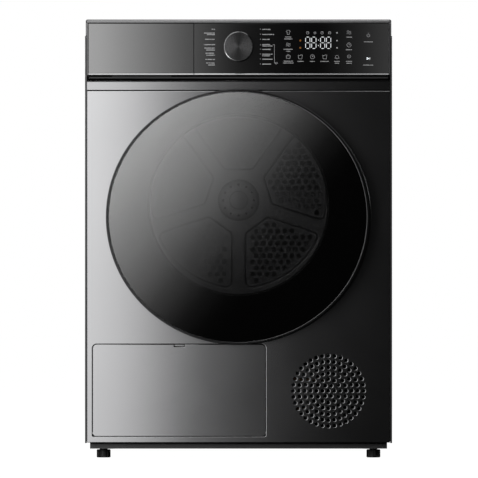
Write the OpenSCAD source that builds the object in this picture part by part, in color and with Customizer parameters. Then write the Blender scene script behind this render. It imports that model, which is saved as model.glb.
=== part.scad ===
// Free-standing heat-pump clothes dryer: steel cabinet, round glass door, condensate tank drawer.
// X runs to the right, Y runs to the back, Z is up; the front faces -Y and the floor is z = 0.

/* [Cabinet] */
// Width over the side panels
cabinet_w = 595; // [591:1:601]
// Height from the floor to the worktop
cabinet_h = 850; // [850:1:860]
// Depth from the front panel to the rear panel
cabinet_d = 590; // [586:2:620]
// Radius of the holes in the lower vent
vent_hole_r = 3.5; // [2.5:0.1:4]
// Rings of holes around the middle hole of the vent
vent_rings = 6; // [3:1:6]

/* [Door] */
// Half of the door's width
door_a = 256.3; // [254:0.1:257]
// Half of the door's height
door_b = 247; // [244:0.5:247]
// How far the door stands in front of the front panel
door_proud = 40; // [40:1:44]

/* [Controls] */
// Diameter of the programme knob
knob_d = 58; // [50:1:60]
// How far the knob stands in front of the fascia
knob_proud = 21; // [16:1:26]

/* [Drum] */
// Outer radius of the drum
drum_r = 276; // [272:0.5:277]
// Number of lifters inside the drum
lifter_count = 3; // [2:1:4]
// Height of each lifter
lifter_h = 58; // [40:1:70]

/* [Hidden] */

$fn = 96;
smooth = 180;       // facets of the largest circles
cut = 1;            // overshoot of every cutting solid
sheet = 1.2;        // painted steel sheet
duct_bump = 14;     // rear duct cover behind the rear panel
run_gap = 0.05;     // radial gap of a shaft in its bearing
skin_gap = 0.4;     // gap between curved faces that pass each other

// Planes across the depth
y_front = -(door_proud + cabinet_d + duct_bump) / 2;
y_face = y_front + door_proud;
y_back = y_face + cabinet_d;

// Half widths and levels of the front
side_x = cabinet_w / 2;
front_x = side_x - 3.9;
console_x = side_x - 6.8;
drawer_x = -86.5;
base_z = 18;
panel_z0 = 30;
panel_z1 = 712;
strip_z0 = 713.6;
strip_z1 = 732;
chrome_z0 = 742;
chrome_z1 = 745.5;
console_z1 = cabinet_h - 8;
top_z = cabinet_h - 6.5;
skirt_z = cabinet_h - 32;
console_d = 62;
recess_y = y_face + 14;

// Door, opening and hinge
door_z = 467;
door_gap = 3;
ring_w = 5;
grip_w = 8.5;
open_z = 490;
open_r = 192;
bowl_r = 183;
window_r = 176;
glass_y = y_face - door_proud + 2;
glass_t = 4;
frame_front_t = 6;
frame_y = glass_y + glass_t;
hinge_x = -(door_a - 10.3);
hinge_y = y_face - 21;
hinge_pin_r = 3;
knuckle_r = 6;
lug_z = 18;
lug_t = 14;
lock_x = 222;

// Drum, belt and drive
drum_z = 503;
drum_y0 = y_face + 84;
drum_y1 = y_back - 38;
drum_wall = 1.2;
shaft_r = 10;
belt_t = 3;
belt_w = 12;
belt_y = 55;
motor_x = 70;
motor_z = 110;
motor_y0 = 75;
motor_y1 = 190;
motor_shaft_r = 7;
pulley_r = 12;
roller_r = 35;
roller_w = 20;
roller_deg = 40;
axle_r = 4;
bulkhead_y = y_face + 72;
fan_y0 = 226;
fan_y1 = y_back - 12;
fan_x0 = -245;
fan_inlet_x = -93;
fan_r = 78;

// Console, tank, flap, vent, feet and filter
knob_z = 797;
tank_y0 = y_face + 20;
tank_len = 470;
tank_x0 = -283;
tank_x1 = -93;
tank_z0 = 771;
tank_z1 = 834;
flap_x0 = -282.4;
flap_x1 = 52.8;
flap_z0 = 42.5;
flap_z1 = 220;
flap_r = 5;
flap_gap = 1;
vent_x = 174;
vent_z = 130;
vent_pitch = 11.4;
vent_counts = [1, 6, 12, 20, 24, 32, 36];
foot_x = 262.3;
foot_inset = 45;
foot_r = 13.5;
foot_stem_r = 4;
filter_x = 96;
filter_y0 = y_face + 43;
filter_y1 = y_face + 63;
filter_z0 = 222;

// Rear fittings
duct_x0 = 20;
duct_w = 100;
duct_z0 = 60;
duct_h = 90;
screw_x = side_x - 12;
screw_levels = [60, 250, 450, 650, 800];
screw_hole_r = 2.2;
gland_x = 225;
gland_z = 775;
spigot_x = 225;
spigot_z = 105;
fitting_r = 9;

paint = [0.20, 0.20, 0.21];
steel = [0.62, 0.62, 0.63];
black = [0.05, 0.05, 0.055];
plastic = [0.30, 0.31, 0.32];
white = [0.86, 0.87, 0.87];

// A box given by its lowest and highest corners
module block(low, high) {
    translate(low) cube(high - low);
}

// A flat shape drawn in X and Z, extruded from y0 to y1
module plate(y0, y1) {
    translate([0, y1, 0]) rotate([90, 0, 0]) linear_extrude(y1 - y0) children();
}

// A round bar along Y
module bar_y(r, y0, y1, x = 0, z = 0) {
    translate([x, y1, z]) rotate([90, 0, 0]) cylinder(r = r, h = y1 - y0);
}

// A tube along Y
module tube_y(r_out, r_in, y0, y1, x = 0, z = 0) {
    difference() {
        bar_y(r_out, y0, y1, x, z);
        bar_y(r_in, y0 - cut, y1 + cut, x, z);
    }
}

// A solid of revolution about an axis along Y; points are [radius, y]
module turned_y(points, x = 0, z = 0) {
    translate([x, 0, z]) rotate([-90, 0, 0]) rotate_extrude($fn = smooth) polygon(points);
}

// A round bar between two points
module rod(a, b, r) {
    d = b - a;
    tilt = acos(d[2] / norm(d));
    turn = atan2(d[1], d[0]);
    translate(a) rotate([0, tilt, turn]) cylinder(r = r, h = norm(d), $fn = 32);
}

// A pipe through a list of points, with a slightly swollen round elbow at each turn
module pipe(points, r) {
    for (i = [0 : len(points) - 2]) rod(points[i], points[i + 1], r);
    for (i = [1 : len(points) - 2]) translate(points[i]) sphere(r = 1.15 * r, $fn = 32);
}

// A flat rectangle with rounded corners
module round_rect(low, high, r) {
    w = high[0] - low[0];
    h = high[1] - low[1];
    translate([low[0] + r, low[1]]) square([w - 2 * r, h]);
    translate([low[0], low[1] + r]) square([w, h - 2 * r]);
    for (x = [low[0] + r, high[0] - r], z = [low[1] + r, high[1] - r])
        translate([x, z]) circle(r = r, $fn = 48);
}

// An oval of four arcs that meet without a kink; a is slightly more than b
module oval(a, b) {
    end_r = a - (a - b) * (1 + sqrt(0.5));
    end_c = a - end_r;
    flat_r = (end_c * end_c + b * b - end_r * end_r) / (2 * (b - end_r));
    flat_c = flat_r - b;
    x_join = end_c * flat_r / (flat_r - end_r);
    for (s = [-1, 1]) translate([s * end_c, 0]) circle(r = end_r, $fn = smooth);
    intersection() {
        translate([0, flat_c]) circle(r = flat_r, $fn = smooth);
        translate([0, -flat_c]) circle(r = flat_r, $fn = smooth);
        square([2 * x_join, 4 * b], center = true);
    }
}

// The door's outline, drawn in by a margin on every side
module door_outline(margin) {
    translate([0, door_z]) oval(door_a - margin, door_b - margin);
}

// The opening of the trim ring, with the wider side at the grip
module glass_outline() {
    translate([(ring_w - grip_w) / 2, door_z]) oval(door_a - (ring_w + grip_w) / 2, door_b - ring_w);
}

// ---------------------------------------------------------------- cabinet

// Moulded tray that carries the heat pump, with bosses for the feet and ears for the flap's pins
module base_tray() {
    wall = 6;
    x = side_x - 9.5;
    y0 = y_face + 9;
    y1 = y_back - 4;
    rim_z = 70;
    floor_z = base_z + 8;
    ear_z = flap_z0 + flap_r;
    ear_y = y_face + flap_r;
    color(paint) difference() {
        union() {
            difference() {
                block([-x, y0, base_z], [x, y1, rim_z]);
                block([-x + wall, y0 + wall, floor_z], [x - wall, y1 - wall, rim_z + cut]);
                block([flap_x0 - 1, y0 - cut, flap_z0 - 6], [flap_x1 + 1, y0 + wall + cut, rim_z + cut]);
                block([vent_x - 75, y0 - cut, 50], [vent_x + 75, y0 + wall + cut, rim_z + cut]);
            }
            for (sx = [-foot_x, foot_x], y = [y_face + foot_inset, y_back - foot_inset])
                translate([sx, y, base_z]) cylinder(r = 12, h = 24);
            for (ear_x = [-x, flap_x1 + 1])
                block([ear_x, ear_y - 3.6, 34], [ear_x + x + flap_x0 - 1, y0 + wall, ear_z + 5]);
        }
        for (sx = [-foot_x, foot_x], y = [y_face + foot_inset, y_back - foot_inset])
            translate([sx, y, base_z - cut]) cylinder(r = foot_stem_r + run_gap, h = 40);
        translate([-x - cut, ear_y, ear_z]) rotate([0, 90, 0]) cylinder(r = 3 + run_gap, h = 2 * x);
    }
}

// Folded side sheet: narrow front return, wide rear return, two pressed beads
module side_sheet() {
    front_return = 3.6;
    rear_return = 16;
    bead = 3;
    z0 = panel_z0 - 1;
    color(paint) {
        block([side_x - sheet, y_face, z0], [side_x, y_back, skirt_z]);
        block([side_x - front_return, y_face, z0], [side_x - sheet, y_face + sheet, skirt_z]);
        difference() {
            block([side_x - rear_return, y_back - 2 * sheet, z0], [side_x - sheet, y_back - sheet, skirt_z]);
            for (z = screw_levels) bar_y(screw_hole_r, y_back - 2 * sheet - cut, y_back, screw_x, z);
        }
        for (z = [240, 620])
            block([side_x - sheet - bead, y_face + 80, z], [side_x - sheet, y_back - 80, z + 14]);
    }
}

module side_panel_right() {
    side_sheet();
}

module side_panel_left() {
    mirror([1, 0, 0]) side_sheet();
}

module rear_panel() {
    inlet_r = 26;
    inlet_ring = 150;
    x = side_x - sheet;
    color(steel) plate(y_back - sheet, y_back) difference() {
        translate([-x, panel_z0 - 1]) square([2 * x, top_z - panel_z0 + 0.7]);
        translate([0, drum_z]) circle(r = 24);
        for (a = [0 : 30 : 330])
            translate([inlet_ring * cos(a), drum_z + inlet_ring * sin(a)]) circle(r = inlet_r);
        translate([duct_x0, duct_z0]) square([duct_w, duct_h]);
        for (s = [-1, 1], z = screw_levels) translate([s * screw_x, z]) circle(r = screw_hole_r, $fn = 24);
        translate([gland_x, gland_z]) circle(r = fitting_r + 0.2);
        translate([spigot_x, spigot_z]) circle(r = fitting_r + 0.2);
        for (x = [-250 : 22 : -130], z = [70, 130]) translate([x, z]) square([8, 44]);
    }
}

// Pressed cover that takes the hot air from the fan up to the back of the drum
module rear_duct_cover() {
    disc_r = 205;
    skin = 1.6;
    flange = 14;
    x0 = duct_x0 - 18;
    w = duct_w + 36;
    z0 = duct_z0 - 18;
    rise = drum_z - z0;
    color(steel) difference() {
        union() {
            plate(y_back, y_back + duct_bump) {
                translate([0, drum_z]) circle(r = disc_r - flange);
                translate([x0, z0]) square([w, rise]);
            }
            plate(y_back, y_back + skin) {
                translate([0, drum_z]) circle(r = disc_r);
                translate([x0 - flange, z0 - flange]) square([w + 2 * flange, rise]);
            }
        }
        plate(y_back - cut, y_back + duct_bump - skin) {
            translate([0, drum_z]) circle(r = disc_r - flange - skin);
            translate([x0 + skin, z0 + skin]) square([w - 2 * skin, rise]);
        }
    }
}

module worktop() {
    skirt = 5;
    inset = 1.3;
    x = side_x - inset;
    z0 = skirt_z + 0.3;
    color(paint) {
        translate([0, 0, top_z]) linear_extrude(cabinet_h - top_z)
            round_rect([-x, y_face], [x, y_back], 5);
        block([-x, y_face + 2, z0], [-x + skirt, y_back - 4, top_z]);
        block([x - skirt, y_face + 2, z0], [x, y_back - 4, top_z]);
    }
}

// Front sheet with the loading hole, the flap's hole, the vent, and slots for hinge and hook
module front_panel() {
    lip = 14;
    collar_y = y_face + 24;
    color(paint) {
        plate(y_face, y_face + sheet) difference() {
            translate([-front_x, panel_z0]) square([2 * front_x, panel_z1 - panel_z0]);
            translate([0, open_z]) circle(r = open_r, $fn = smooth);
            round_rect([flap_x0 - flap_gap, flap_z0 - flap_gap], [flap_x1 + flap_gap, flap_z1 + flap_gap], 8);
            translate([flap_x0 - flap_gap, flap_z0 - flap_gap])
                square([flap_x1 - flap_x0 + 2 * flap_gap, 2 * flap_r]);
            for (ring = [0 : vent_rings], i = [0 : vent_counts[ring] - 1]) {
                a = i * 360 / vent_counts[ring];
                r = ring * vent_pitch;
                translate([vent_x + r * cos(a), vent_z + r * sin(a)]) circle(r = vent_hole_r, $fn = 24);
            }
            for (z = [door_z - lug_z - lug_t, door_z + lug_z])
                translate([hinge_x + 9, z - 1.5]) square([30, lug_t + 3]);
            translate([lock_x - 8, door_z - 10]) square([16, 20]);
        }
        for (x = [-front_x, front_x - sheet])
            block([x, y_face + sheet, panel_z0], [x + sheet, y_face + lip, panel_z1]);
        for (z = [panel_z0, panel_z1 - sheet])
            block([-front_x + sheet, y_face + sheet, z], [front_x - sheet, y_face + 7, z + sheet]);
        tube_y(open_r + 1.6, open_r, y_face + sheet, collar_y, 0, open_z);
    }
}

module upper_front_strip() {
    color(paint) {
        block([-front_x, y_face, strip_z0], [front_x, y_face + 1.6, strip_z1]);
        for (z = [strip_z0, strip_z1 - 1.6])
            block([-front_x, y_face + 1.6, z], [front_x, recess_y, z + 1.6]);
    }
}

// Plastic carrier behind the fascia, with the drawer's passage at the left
module console_frame() {
    z0 = strip_z1;
    y1 = y_face + console_d;
    passage_x0 = -console_x + 2.5;
    passage_x1 = drawer_x - 4;
    color(plastic) difference() {
        union() {
            block([-console_x, y_face + 3, chrome_z1], [console_x, y1, console_z1]);
            block([-console_x, recess_y, z0], [console_x, y1, chrome_z1]);
        }
        block([passage_x0, y_face - cut, tank_z0 - 3], [passage_x1, y1 + cut, tank_z1 + 3.5]);
        block([-console_x - cut, y_face - cut, chrome_z1], [drawer_x, y_face + 19, console_z1 + cut]);
        block([drawer_x + 6, y_face + 14, chrome_z1 + 6], [console_x - 5, y1 + cut, console_z1 - 4]);
        bar_y(8, y_face, y_face + 15, 0, knob_z);
        block([125, y_face, knob_z - 8], [185, y_face + 15, knob_z + 24]);
    }
}

module control_fascia() {
    color(black) difference() {
        block([drawer_x + 0.4, y_face, chrome_z1], [console_x, y_face + 3, console_z1]);
        bar_y(4.5, y_face - cut, y_face + 4, 0, knob_z);
    }
}

module chrome_strip() {
    color(steel) block([drawer_x + 0.4, y_face - 0.6, chrome_z0], [console_x, y_face + 2.4, chrome_z1]);
}

// Circuit board with the selector's body, the display and its larger components
module control_board() {
    y = y_face + 30;
    color([0.07, 0.30, 0.18]) {
        block([-62, y, 754], [262, y + 1.6, 834]);
        difference() {
            union() {
                block([-8, y - 8, knob_z - 8], [8, y, knob_z + 8]);
                bar_y(5, y_face + 17, y - 8, 0, knob_z);
            }
            bar_y(3 + run_gap, y_face + 16, y - 2, 0, knob_z);
        }
        block([126, y - 16, knob_z - 7], [184, y, knob_z + 23]);
        for (x = [40, 62]) block([x, y + 1.6, 770], [x + 16, y + 18, 800]);
        for (x = [210, 232]) translate([x, y + 1.6, 800]) rotate([-90, 0, 0]) cylinder(r = 8, h = 20);
    }
}

// Sleeve that guides the condensate tank along the left of the cabinet
module tank_housing() {
    wall = 2;
    gap = 1;
    y0 = y_face + console_d + 1;
    y1 = tank_y0 + tank_len + 6;
    x0 = tank_x0 - gap;
    x1 = tank_x1 + gap;
    z0 = tank_z0 - gap;
    z1 = tank_z1 + gap;
    color(white) difference() {
        block([x0 - wall, y0, z0 - wall], [x1 + wall, y1, z1 + wall]);
        block([x0, y0 - cut, z0], [x1, y1 - wall, z1]);
        block([x0 + 20, y0 + 40, z1 - cut], [x1 - 20, y1 - 30, z1 + wall + cut]);
    }
}

// Ring wall in front of the drum, with the loading throat and the lint filter's pocket
module front_bulkhead() {
    wall = 3;
    throat_y = y_face + 25;
    pocket_x = filter_x + 2;
    pocket_y0 = filter_y0 - 2;
    pocket_y1 = filter_y1 + 2;
    pocket_z0 = filter_z0 - 8;
    wall_z0 = 222;
    wall_z1 = 758;
    color(plastic) difference() {
        union() {
            plate(bulkhead_y - wall, bulkhead_y) difference() {
                translate([-side_x + 10, wall_z0]) square([2 * side_x - 20, wall_z1 - wall_z0]);
                translate([0, open_z]) circle(r = open_r, $fn = smooth);
            }
            tube_y(open_r + wall, open_r, throat_y, bulkhead_y, 0, open_z);
            block([-pocket_x - wall, pocket_y0 - wall, pocket_z0],
                  [pocket_x + wall, bulkhead_y - wall, open_z - open_r + 32]);
        }
        bar_y(open_r, throat_y - cut, bulkhead_y + cut, 0, open_z);
        block([-pocket_x, pocket_y0, filter_z0 - 1], [pocket_x, pocket_y1, open_z]);
        block([-pocket_x + 10, pocket_y0, pocket_z0 - cut], [pocket_x - 10, pocket_y1, open_z]);
    }
}

// Felt rings at the front and the back of the drum
module drum_seals() {
    color([0.75, 0.73, 0.68]) {
        tube_y(drum_r - 8, drum_r - 28, bulkhead_y, drum_y0 - skin_gap, 0, drum_z);
        tube_y(238, 222, drum_y1 + skin_gap, y_back - sheet, 0, drum_z);
    }
}

// Hinge plate behind the front panel; its lugs come through the slots and hold the pin
module hinge_bracket() {
    pin_end = lug_z + lug_t + 2;
    x1 = hinge_x + 38;
    color(steel) {
        difference() {
            block([hinge_x + 2, y_face + sheet, door_z - 60], [x1 + 4, y_face + sheet + 3, door_z + 60]);
            for (z = [-50, 50]) bar_y(2.2, y_face, y_face + 6, hinge_x + 23, door_z + z);
        }
        for (z = [door_z - lug_z - lug_t, door_z + lug_z]) translate([0, 0, z])
            linear_extrude(lug_t) {
                translate([hinge_x, hinge_y]) circle(r = knuckle_r);
                polygon([[hinge_x + 1, hinge_y + 5.9], [hinge_x + 5, hinge_y - 3.3],
                         [x1 - 1, y_face - 3], [x1, y_face + sheet], [hinge_x + 11, y_face + sheet]]);
            }
        translate([hinge_x, hinge_y, door_z - pin_end]) cylinder(r = hinge_pin_r, h = 2 * pin_end);
    }
}

// Lock behind the front panel that the door's hook runs into
module door_lock() {
    color(white) difference() {
        block([lock_x - 14, y_face + sheet, door_z - 26], [lock_x + 18, y_face + 34, door_z + 26]);
        block([lock_x - 7, y_face, door_z - 9], [lock_x + 7, y_face + 24, door_z + 9]);
    }
}

// Place a roller's axis: side is -1 for the left one and 1 for the right one
function roller_centre(side) = [
    side * (drum_r + roller_r + skin_gap) * sin(roller_deg),
    drum_z - (drum_r + roller_r + skin_gap) * cos(roller_deg)
];

module roller_axles() {
    color(steel) for (side = [-1, 1]) {
        c = roller_centre(side);
        bar_y(axle_r, bulkhead_y, drum_y0 + roller_w + 9, c[0], c[1]);
        bar_y(8, drum_y0 + roller_w + 5, drum_y0 + roller_w + 9, c[0], c[1]);
        bar_y(9, bulkhead_y, drum_y0 + 3, c[0], c[1]);
    }
}

module rear_bearing() {
    y1 = y_back - sheet;
    color(steel) difference() {
        union() {
            tube_y(48, shaft_r + run_gap, y1 - 4, y1, 0, drum_z);
            tube_y(22, shaft_r + run_gap, y1 - 22, y1 + 4, 0, drum_z);
            for (a = [0 : 60 : 300]) translate([0, 0, drum_z]) rotate([0, a, 0])
                block([18, y1 - 13, -2], [42, y1 - 3, 2]);
        }
        for (a = [30 : 60 : 330]) bar_y(2.6, y1 - 6, y1 + 1, 38 * cos(a), drum_z + 38 * sin(a));
    }
}

// Closed belt in its plane: two arcs joined by their outer tangents, grown by g
module belt_loop(g) {
    big = drum_r + skin_gap + g;
    small = pulley_r + g;
    d = [-motor_x, drum_z - motor_z];
    span = norm(d);
    a0 = atan2(d[1], d[0]);
    lean = acos((big - small) / span);
    translate([0, drum_z]) circle(r = big, $fn = smooth);
    translate([motor_x, motor_z]) circle(r = small);
    outer = [for (s = [1, -1]) a0 + 180 + s * lean];
    polygon([
        [big * cos(outer[0]), drum_z + big * sin(outer[0])],
        [big * cos(outer[1]), drum_z + big * sin(outer[1])],
        [motor_x + small * cos(outer[1]), motor_z + small * sin(outer[1])],
        [motor_x + small * cos(outer[0]), motor_z + small * sin(outer[0])]]);
}

module drive_belt() {
    color(black) plate(belt_y - belt_w / 2, belt_y + belt_w / 2) difference() {
        belt_loop(belt_t);
        belt_loop(0);
    }
}

module motor() {
    cradle_z = base_z + 8;
    color(steel) difference() {
        union() {
            bar_y(52, motor_y0 + 8, motor_y1 - 8, motor_x, motor_z);
            bar_y(40, motor_y0, motor_y1, motor_x, motor_z);
            for (y = [motor_y0 + 14, motor_y1 - 26])
                block([motor_x - 46, y, cradle_z], [motor_x + 46, y + 12, motor_z - 30]);
            block([motor_x + 36, motor_y0 + 30, motor_z + 26], [motor_x + 66, motor_y1 - 30, motor_z + 46]);
        }
        bar_y(motor_shaft_r + run_gap, motor_y0 - cut, motor_y1 + cut, motor_x, motor_z);
    }
}

// Hermetic compressor on its plate, with a terminal cover
module compressor() {
    x = 205;
    y = -70;
    r = 60;
    z0 = base_z + 8;
    color(black) {
        translate([x, y, z0 + 5]) rotate_extrude() polygon([
            [0, 0], [r - 14, 0], [r - 4, 6], [r, 18], [r, 128], [r - 6, 146], [r - 22, 160], [0, 170]]);
        translate([x - 72, y - 60, z0]) cube([144, 120, 5]);
        for (sx = [-54, 54], sy = [-44, 44]) translate([x + sx, y + sy, z0 + 5]) cylinder(r = 9, h = 14);
        translate([x - 18, y - r - 20, z0 + 70]) cube([36, 30, 44]);
    }
}

// Finned heat exchanger between two end plates, with hairpin bends at the left
module exchanger(y0, y1) {
    x0 = -256;
    x1 = 6;
    z0 = 46;
    z1 = 188;
    rail = 12;
    fin = 2;
    fin_pitch = 9;
    bend_r = 12;
    tube_r = 4;
    color(steel) {
        difference() {
            block([x0 + 3, y0 + 2, z0 + 2], [x1 - 3, y1 - 2, z1 - 2]);
            for (x = [x0 + 6 : fin_pitch : x1 - 12])
                block([x, y0 - cut, z0 + rail], [x + fin_pitch - fin, y1 + cut, z1]);
        }
        for (x = [x0, x1 - 3]) block([x, y0, z0], [x + 3, y1, z1]);
        for (z = [z0 + 36, z0 + 70, z0 + 104], y = [y0 + 25, y1 - 25])
            translate([x0, y, z]) rotate([0, -90, 0]) rotate([90, 0, 0])
                rotate_extrude(angle = 180) translate([bend_r, 0]) circle(r = tube_r, $fn = 24);
    }
}

module evaporator() {
    exchanger(y_face + 62, y_face + 162);
}

module condenser() {
    exchanger(y_face + 176, y_face + 292);
}

module refrigerant_pipes() {
    color([0.72, 0.42, 0.25]) {
        pipe([[6, y_face + 110, 150], [60, y_face + 110, 150], [60, -150, 150], [170, -150, 150],
              [170, -123, 150]], 4);
        pipe([[6, y_face + 250, 90], [40, y_face + 250, 90], [40, -110, 90], [151, -110, 90]], 4);
        pipe([[6, y_face + 280, 60], [15, y_face + 280, 60], [15, y_face + 140, 60],
              [6, y_face + 140, 60]], 2.5);
    }
}

module heat_exchanger_filter() {
    x0 = -258;
    x1 = 2;
    z0 = 48;
    z1 = 186;
    y0 = y_face + 34;
    y1 = y_face + 54;
    color(plastic) {
        difference() {
            block([x0, y0, z0], [x1, y1, z1]);
            block([x0 + 10, y0 - cut, z0 + 10], [x1 - 10, y1 + cut, z1 - 10]);
        }
        block([x0 + 10, y1 - 5, z0 + 10], [x1 - 10, y1 - 2, z1 - 10]);
        for (x = [-180, -76]) block([x - 4, y0, z0 + 10], [x + 4, y1 - 5, z1 - 10]);
    }
}

// Channel over the heat exchangers: open below, at the front and at the back
module air_duct() {
    wall = 3;
    x0 = -280;
    x1 = 26;
    z0 = base_z + 8;
    z1 = 198;
    y0 = y_face + 58;
    y1 = y_face + 298;
    color(plastic) {
        difference() {
            block([x0, y0, z0], [x1, y1, z1]);
            block([x0 + wall, y0 - cut, z0 - cut], [x1 - wall, y1 - wall, z1 - wall]);
            block([fan_x0 + wall, y1 - wall - cut, z0 - cut], [fan_inlet_x, y1 + cut, z1 - 20]);
            for (p = [[y_face + 110, 150], [y_face + 250, 90]])
                translate([x1 - wall - cut, p[0], p[1]]) rotate([0, 90, 0])
                    cylinder(r = 6, h = wall + 2 * cut);
        }
        difference() {
            block([fan_x0, y1, z0], [fan_inlet_x + wall, fan_y0, z1 - 17]);
            block([fan_x0 + wall, y1 - cut, z0 - cut], [fan_inlet_x, fan_y0 + cut, z1 - 20]);
        }
    }
}

// Fan chamber across the back: air enters at the left and leaves through the rear panel
module fan_housing() {
    wall = 3;
    x0 = fan_x0;
    x1 = 168;
    z0 = base_z + 8;
    z1 = 202;
    color(plastic) difference() {
        block([x0, fan_y0, z0], [x1, fan_y1, z1]);
        block([x0 + wall, fan_y0 + wall, z0 + wall], [x1 - wall, fan_y1 - wall, z1 - wall]);
        block([x0 + wall, fan_y0 - cut, z0 + wall], [fan_inlet_x, fan_y0 + wall + cut, 178]);
        bar_y(motor_shaft_r + 3, fan_y0 - cut, fan_y0 + wall + cut, motor_x, motor_z);
        block([duct_x0, fan_y1 - wall - cut, duct_z0], [duct_x0 + duct_w, fan_y1 + cut, duct_z0 + duct_h]);
    }
}

module drain_pump() {
    color(plastic) {
        translate([230, 190, base_z + 8]) cylinder(r = 24, h = 46);
        translate([230, 190, base_z + 54]) cylinder(r = 16, h = 30);
        block([214, 150, base_z + 8], [246, 190, base_z + 30]);
    }
}

// Hose from the pump up the rear corner to the tank housing
module pump_hose() {
    y = y_back - 14;
    x = side_x - 12;
    color(black) pipe([[230, 190, base_z + 84], [230, 190, 130], [230, y, 130], [x, y, 130], [x, y, 800],
                       [-150, y, 800], [-150, tank_y0 + tank_len + 6, 800]], 5);
}

module drain_spigot() {
    color(black) difference() {
        union() {
            bar_y(fitting_r, y_back + 2, y_back + 13, spigot_x, spigot_z);
            bar_y(fitting_r - 1, y_back - 14, y_back + 3, spigot_x, spigot_z);
            bar_y(15, y_back - 5, y_back - sheet, spigot_x, spigot_z);
        }
        bar_y(6.5, y_back - 15, y_back + 14, spigot_x, spigot_z);
    }
}

// Gland for the mains cable
module mains_inlet() {
    color(black) difference() {
        union() {
            bar_y(fitting_r, y_back - 16, y_back + 10, gland_x, gland_z);
            block([gland_x - 18, y_back, gland_z - 14], [gland_x + 18, y_back + 3, gland_z + 14]);
        }
        bar_y(4, y_back - 17, y_back + 11, gland_x, gland_z);
    }
}

module cabinet_screws() {
    color(steel) for (s = [-1, 1], z = screw_levels) {
        bar_y(4.2, y_back, y_back + 2.6, s * screw_x, z);
        bar_y(2, y_back - 3.5, y_back, s * screw_x, z);
    }
}

// ---------------------------------------------------------------- drum

// Rolled steel drum with a track for the rollers, a belt track and a front rim
module drum_shell() {
    rim_r = 216;
    rim_t = 3;
    inner_r = drum_r - drum_wall;
    color(steel) {
        tube_y(drum_r, inner_r, drum_y0, drum_y1, 0, drum_z);
        tube_y(inner_r, rim_r, drum_y0, drum_y0 + rim_t, 0, drum_z);
        for (y = [-110, 0, 110, 220])
            turned_y([[inner_r - 3, y], [inner_r, y - 5], [inner_r, y + 5]], 0, drum_z);
    }
}

// Steel rear wall: five perforated fields between five raised spokes around a hub
module drum_rear_wall() {
    spokes = 5;
    step = 360 / spokes;
    spoke_w = 31;
    spoke_t = 3;
    spoke_deg = 54;
    field_deg = 90;
    hub_r = 66;
    field_r = 188;
    hole_r = 3.8;
    hole_pitch = 20;
    row_pitch = 18;
    edge = 7;
    y0 = drum_y1 - 1.5;
    color(steel) {
        plate(y0, drum_y1) difference() {
            translate([0, drum_z]) circle(r = drum_r - drum_wall, $fn = smooth);
            for (i = [0 : spokes - 1], row = [0 : 5], col = [-4 : 4]) {
                r = hub_r + 16 + row * row_pitch;
                turn = (col + (row % 2) / 2) * hole_pitch / r * 180 / PI;
                a = field_deg + i * step + turn;
                if (abs(turn) < step / 2 - asin((spoke_w / 2 + edge) / r))
                    translate([r * cos(a), drum_z + r * sin(a)]) circle(r = hole_r, $fn = 16);
            }
        }
        plate(y0 - spoke_t, y0) translate([0, drum_z]) {
            circle(r = hub_r);
            for (i = [0 : spokes - 1]) rotate(spoke_deg + i * step)
                translate([0, -spoke_w / 2]) square([field_r, spoke_w]);
        }
        turned_y([[0, y0 - 9], [30, y0 - 9], [42, y0 - spoke_t], [0, y0 - spoke_t]], 0, drum_z);
    }
}

// Hollow lifters, screwed to the inside of the drum
module drum_lifters() {
    base_half = 42;
    tip_r = 14;
    wall = 3;
    y0 = drum_y0 + 30;
    y1 = drum_y1 - 24;
    foot_level = drum_r - drum_wall - 6;
    tip_level = foot_level - lifter_h + tip_r;
    color(white) for (i = [0 : lifter_count - 1])
        translate([0, 0, drum_z]) rotate([0, 30 + i * 360 / lifter_count, 0]) difference() {
            plate(y0, y1) {
                polygon([[-base_half, -foot_level], [base_half, -foot_level],
                         [tip_r * 0.9, -tip_level + tip_r * 0.4], [-tip_r * 0.9, -tip_level + tip_r * 0.4]]);
                translate([0, -tip_level]) circle(r = tip_r, $fn = 48);
            }
            plate(y0 + wall, y1 - wall)
                polygon([[2 * wall - base_half, -foot_level - cut], [base_half - 2 * wall, -foot_level - cut],
                         [tip_r * 0.7, -tip_level], [-tip_r * 0.7, -tip_level]]);
        }
}

module drum_shaft() {
    color(steel) {
        bar_y(shaft_r, drum_y1, y_back + 5, 0, drum_z);
        bar_y(60, drum_y1, drum_y1 + 4, 0, drum_z);
        for (a = [0 : 120 : 240]) translate([0, 0, drum_z]) rotate([0, a, 0])
            block([40, drum_y1, -16], [190, drum_y1 + 4, 16]);
    }
}

// ---------------------------------------------------------------- drive

module motor_shaft() {
    groove = 0.8;
    y0 = belt_y - 9;
    color(steel) {
        bar_y(motor_shaft_r, y0, fan_y1 - 16, motor_x, motor_z);
        bar_y(pulley_r - skin_gap - groove, y0, belt_y + 9, motor_x, motor_z);
        for (y = [belt_y - 5 : 2.4 : belt_y + 5])
            bar_y(pulley_r - skin_gap, y - 0.6, y + 0.6, motor_x, motor_z);
    }
}

module fan_impeller() {
    y0 = fan_y0 + 10;
    y1 = fan_y1 - 10;
    blades = 24;
    color(plastic) {
        tube_y(fan_r, motor_shaft_r, y0, y0 + 3, motor_x, motor_z);
        tube_y(fan_r, fan_r - 16, y1 - 3, y1, motor_x, motor_z);
        tube_y(16, motor_shaft_r, y0 + 3, y0 + 30, motor_x, motor_z);
        for (i = [0 : blades - 1]) translate([motor_x, 0, motor_z]) rotate([0, i * 360 / blades, 0])
            block([fan_r - 15, y0 + 3, -1], [fan_r - 1, y1 - 3, 1]);
    }
}

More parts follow.
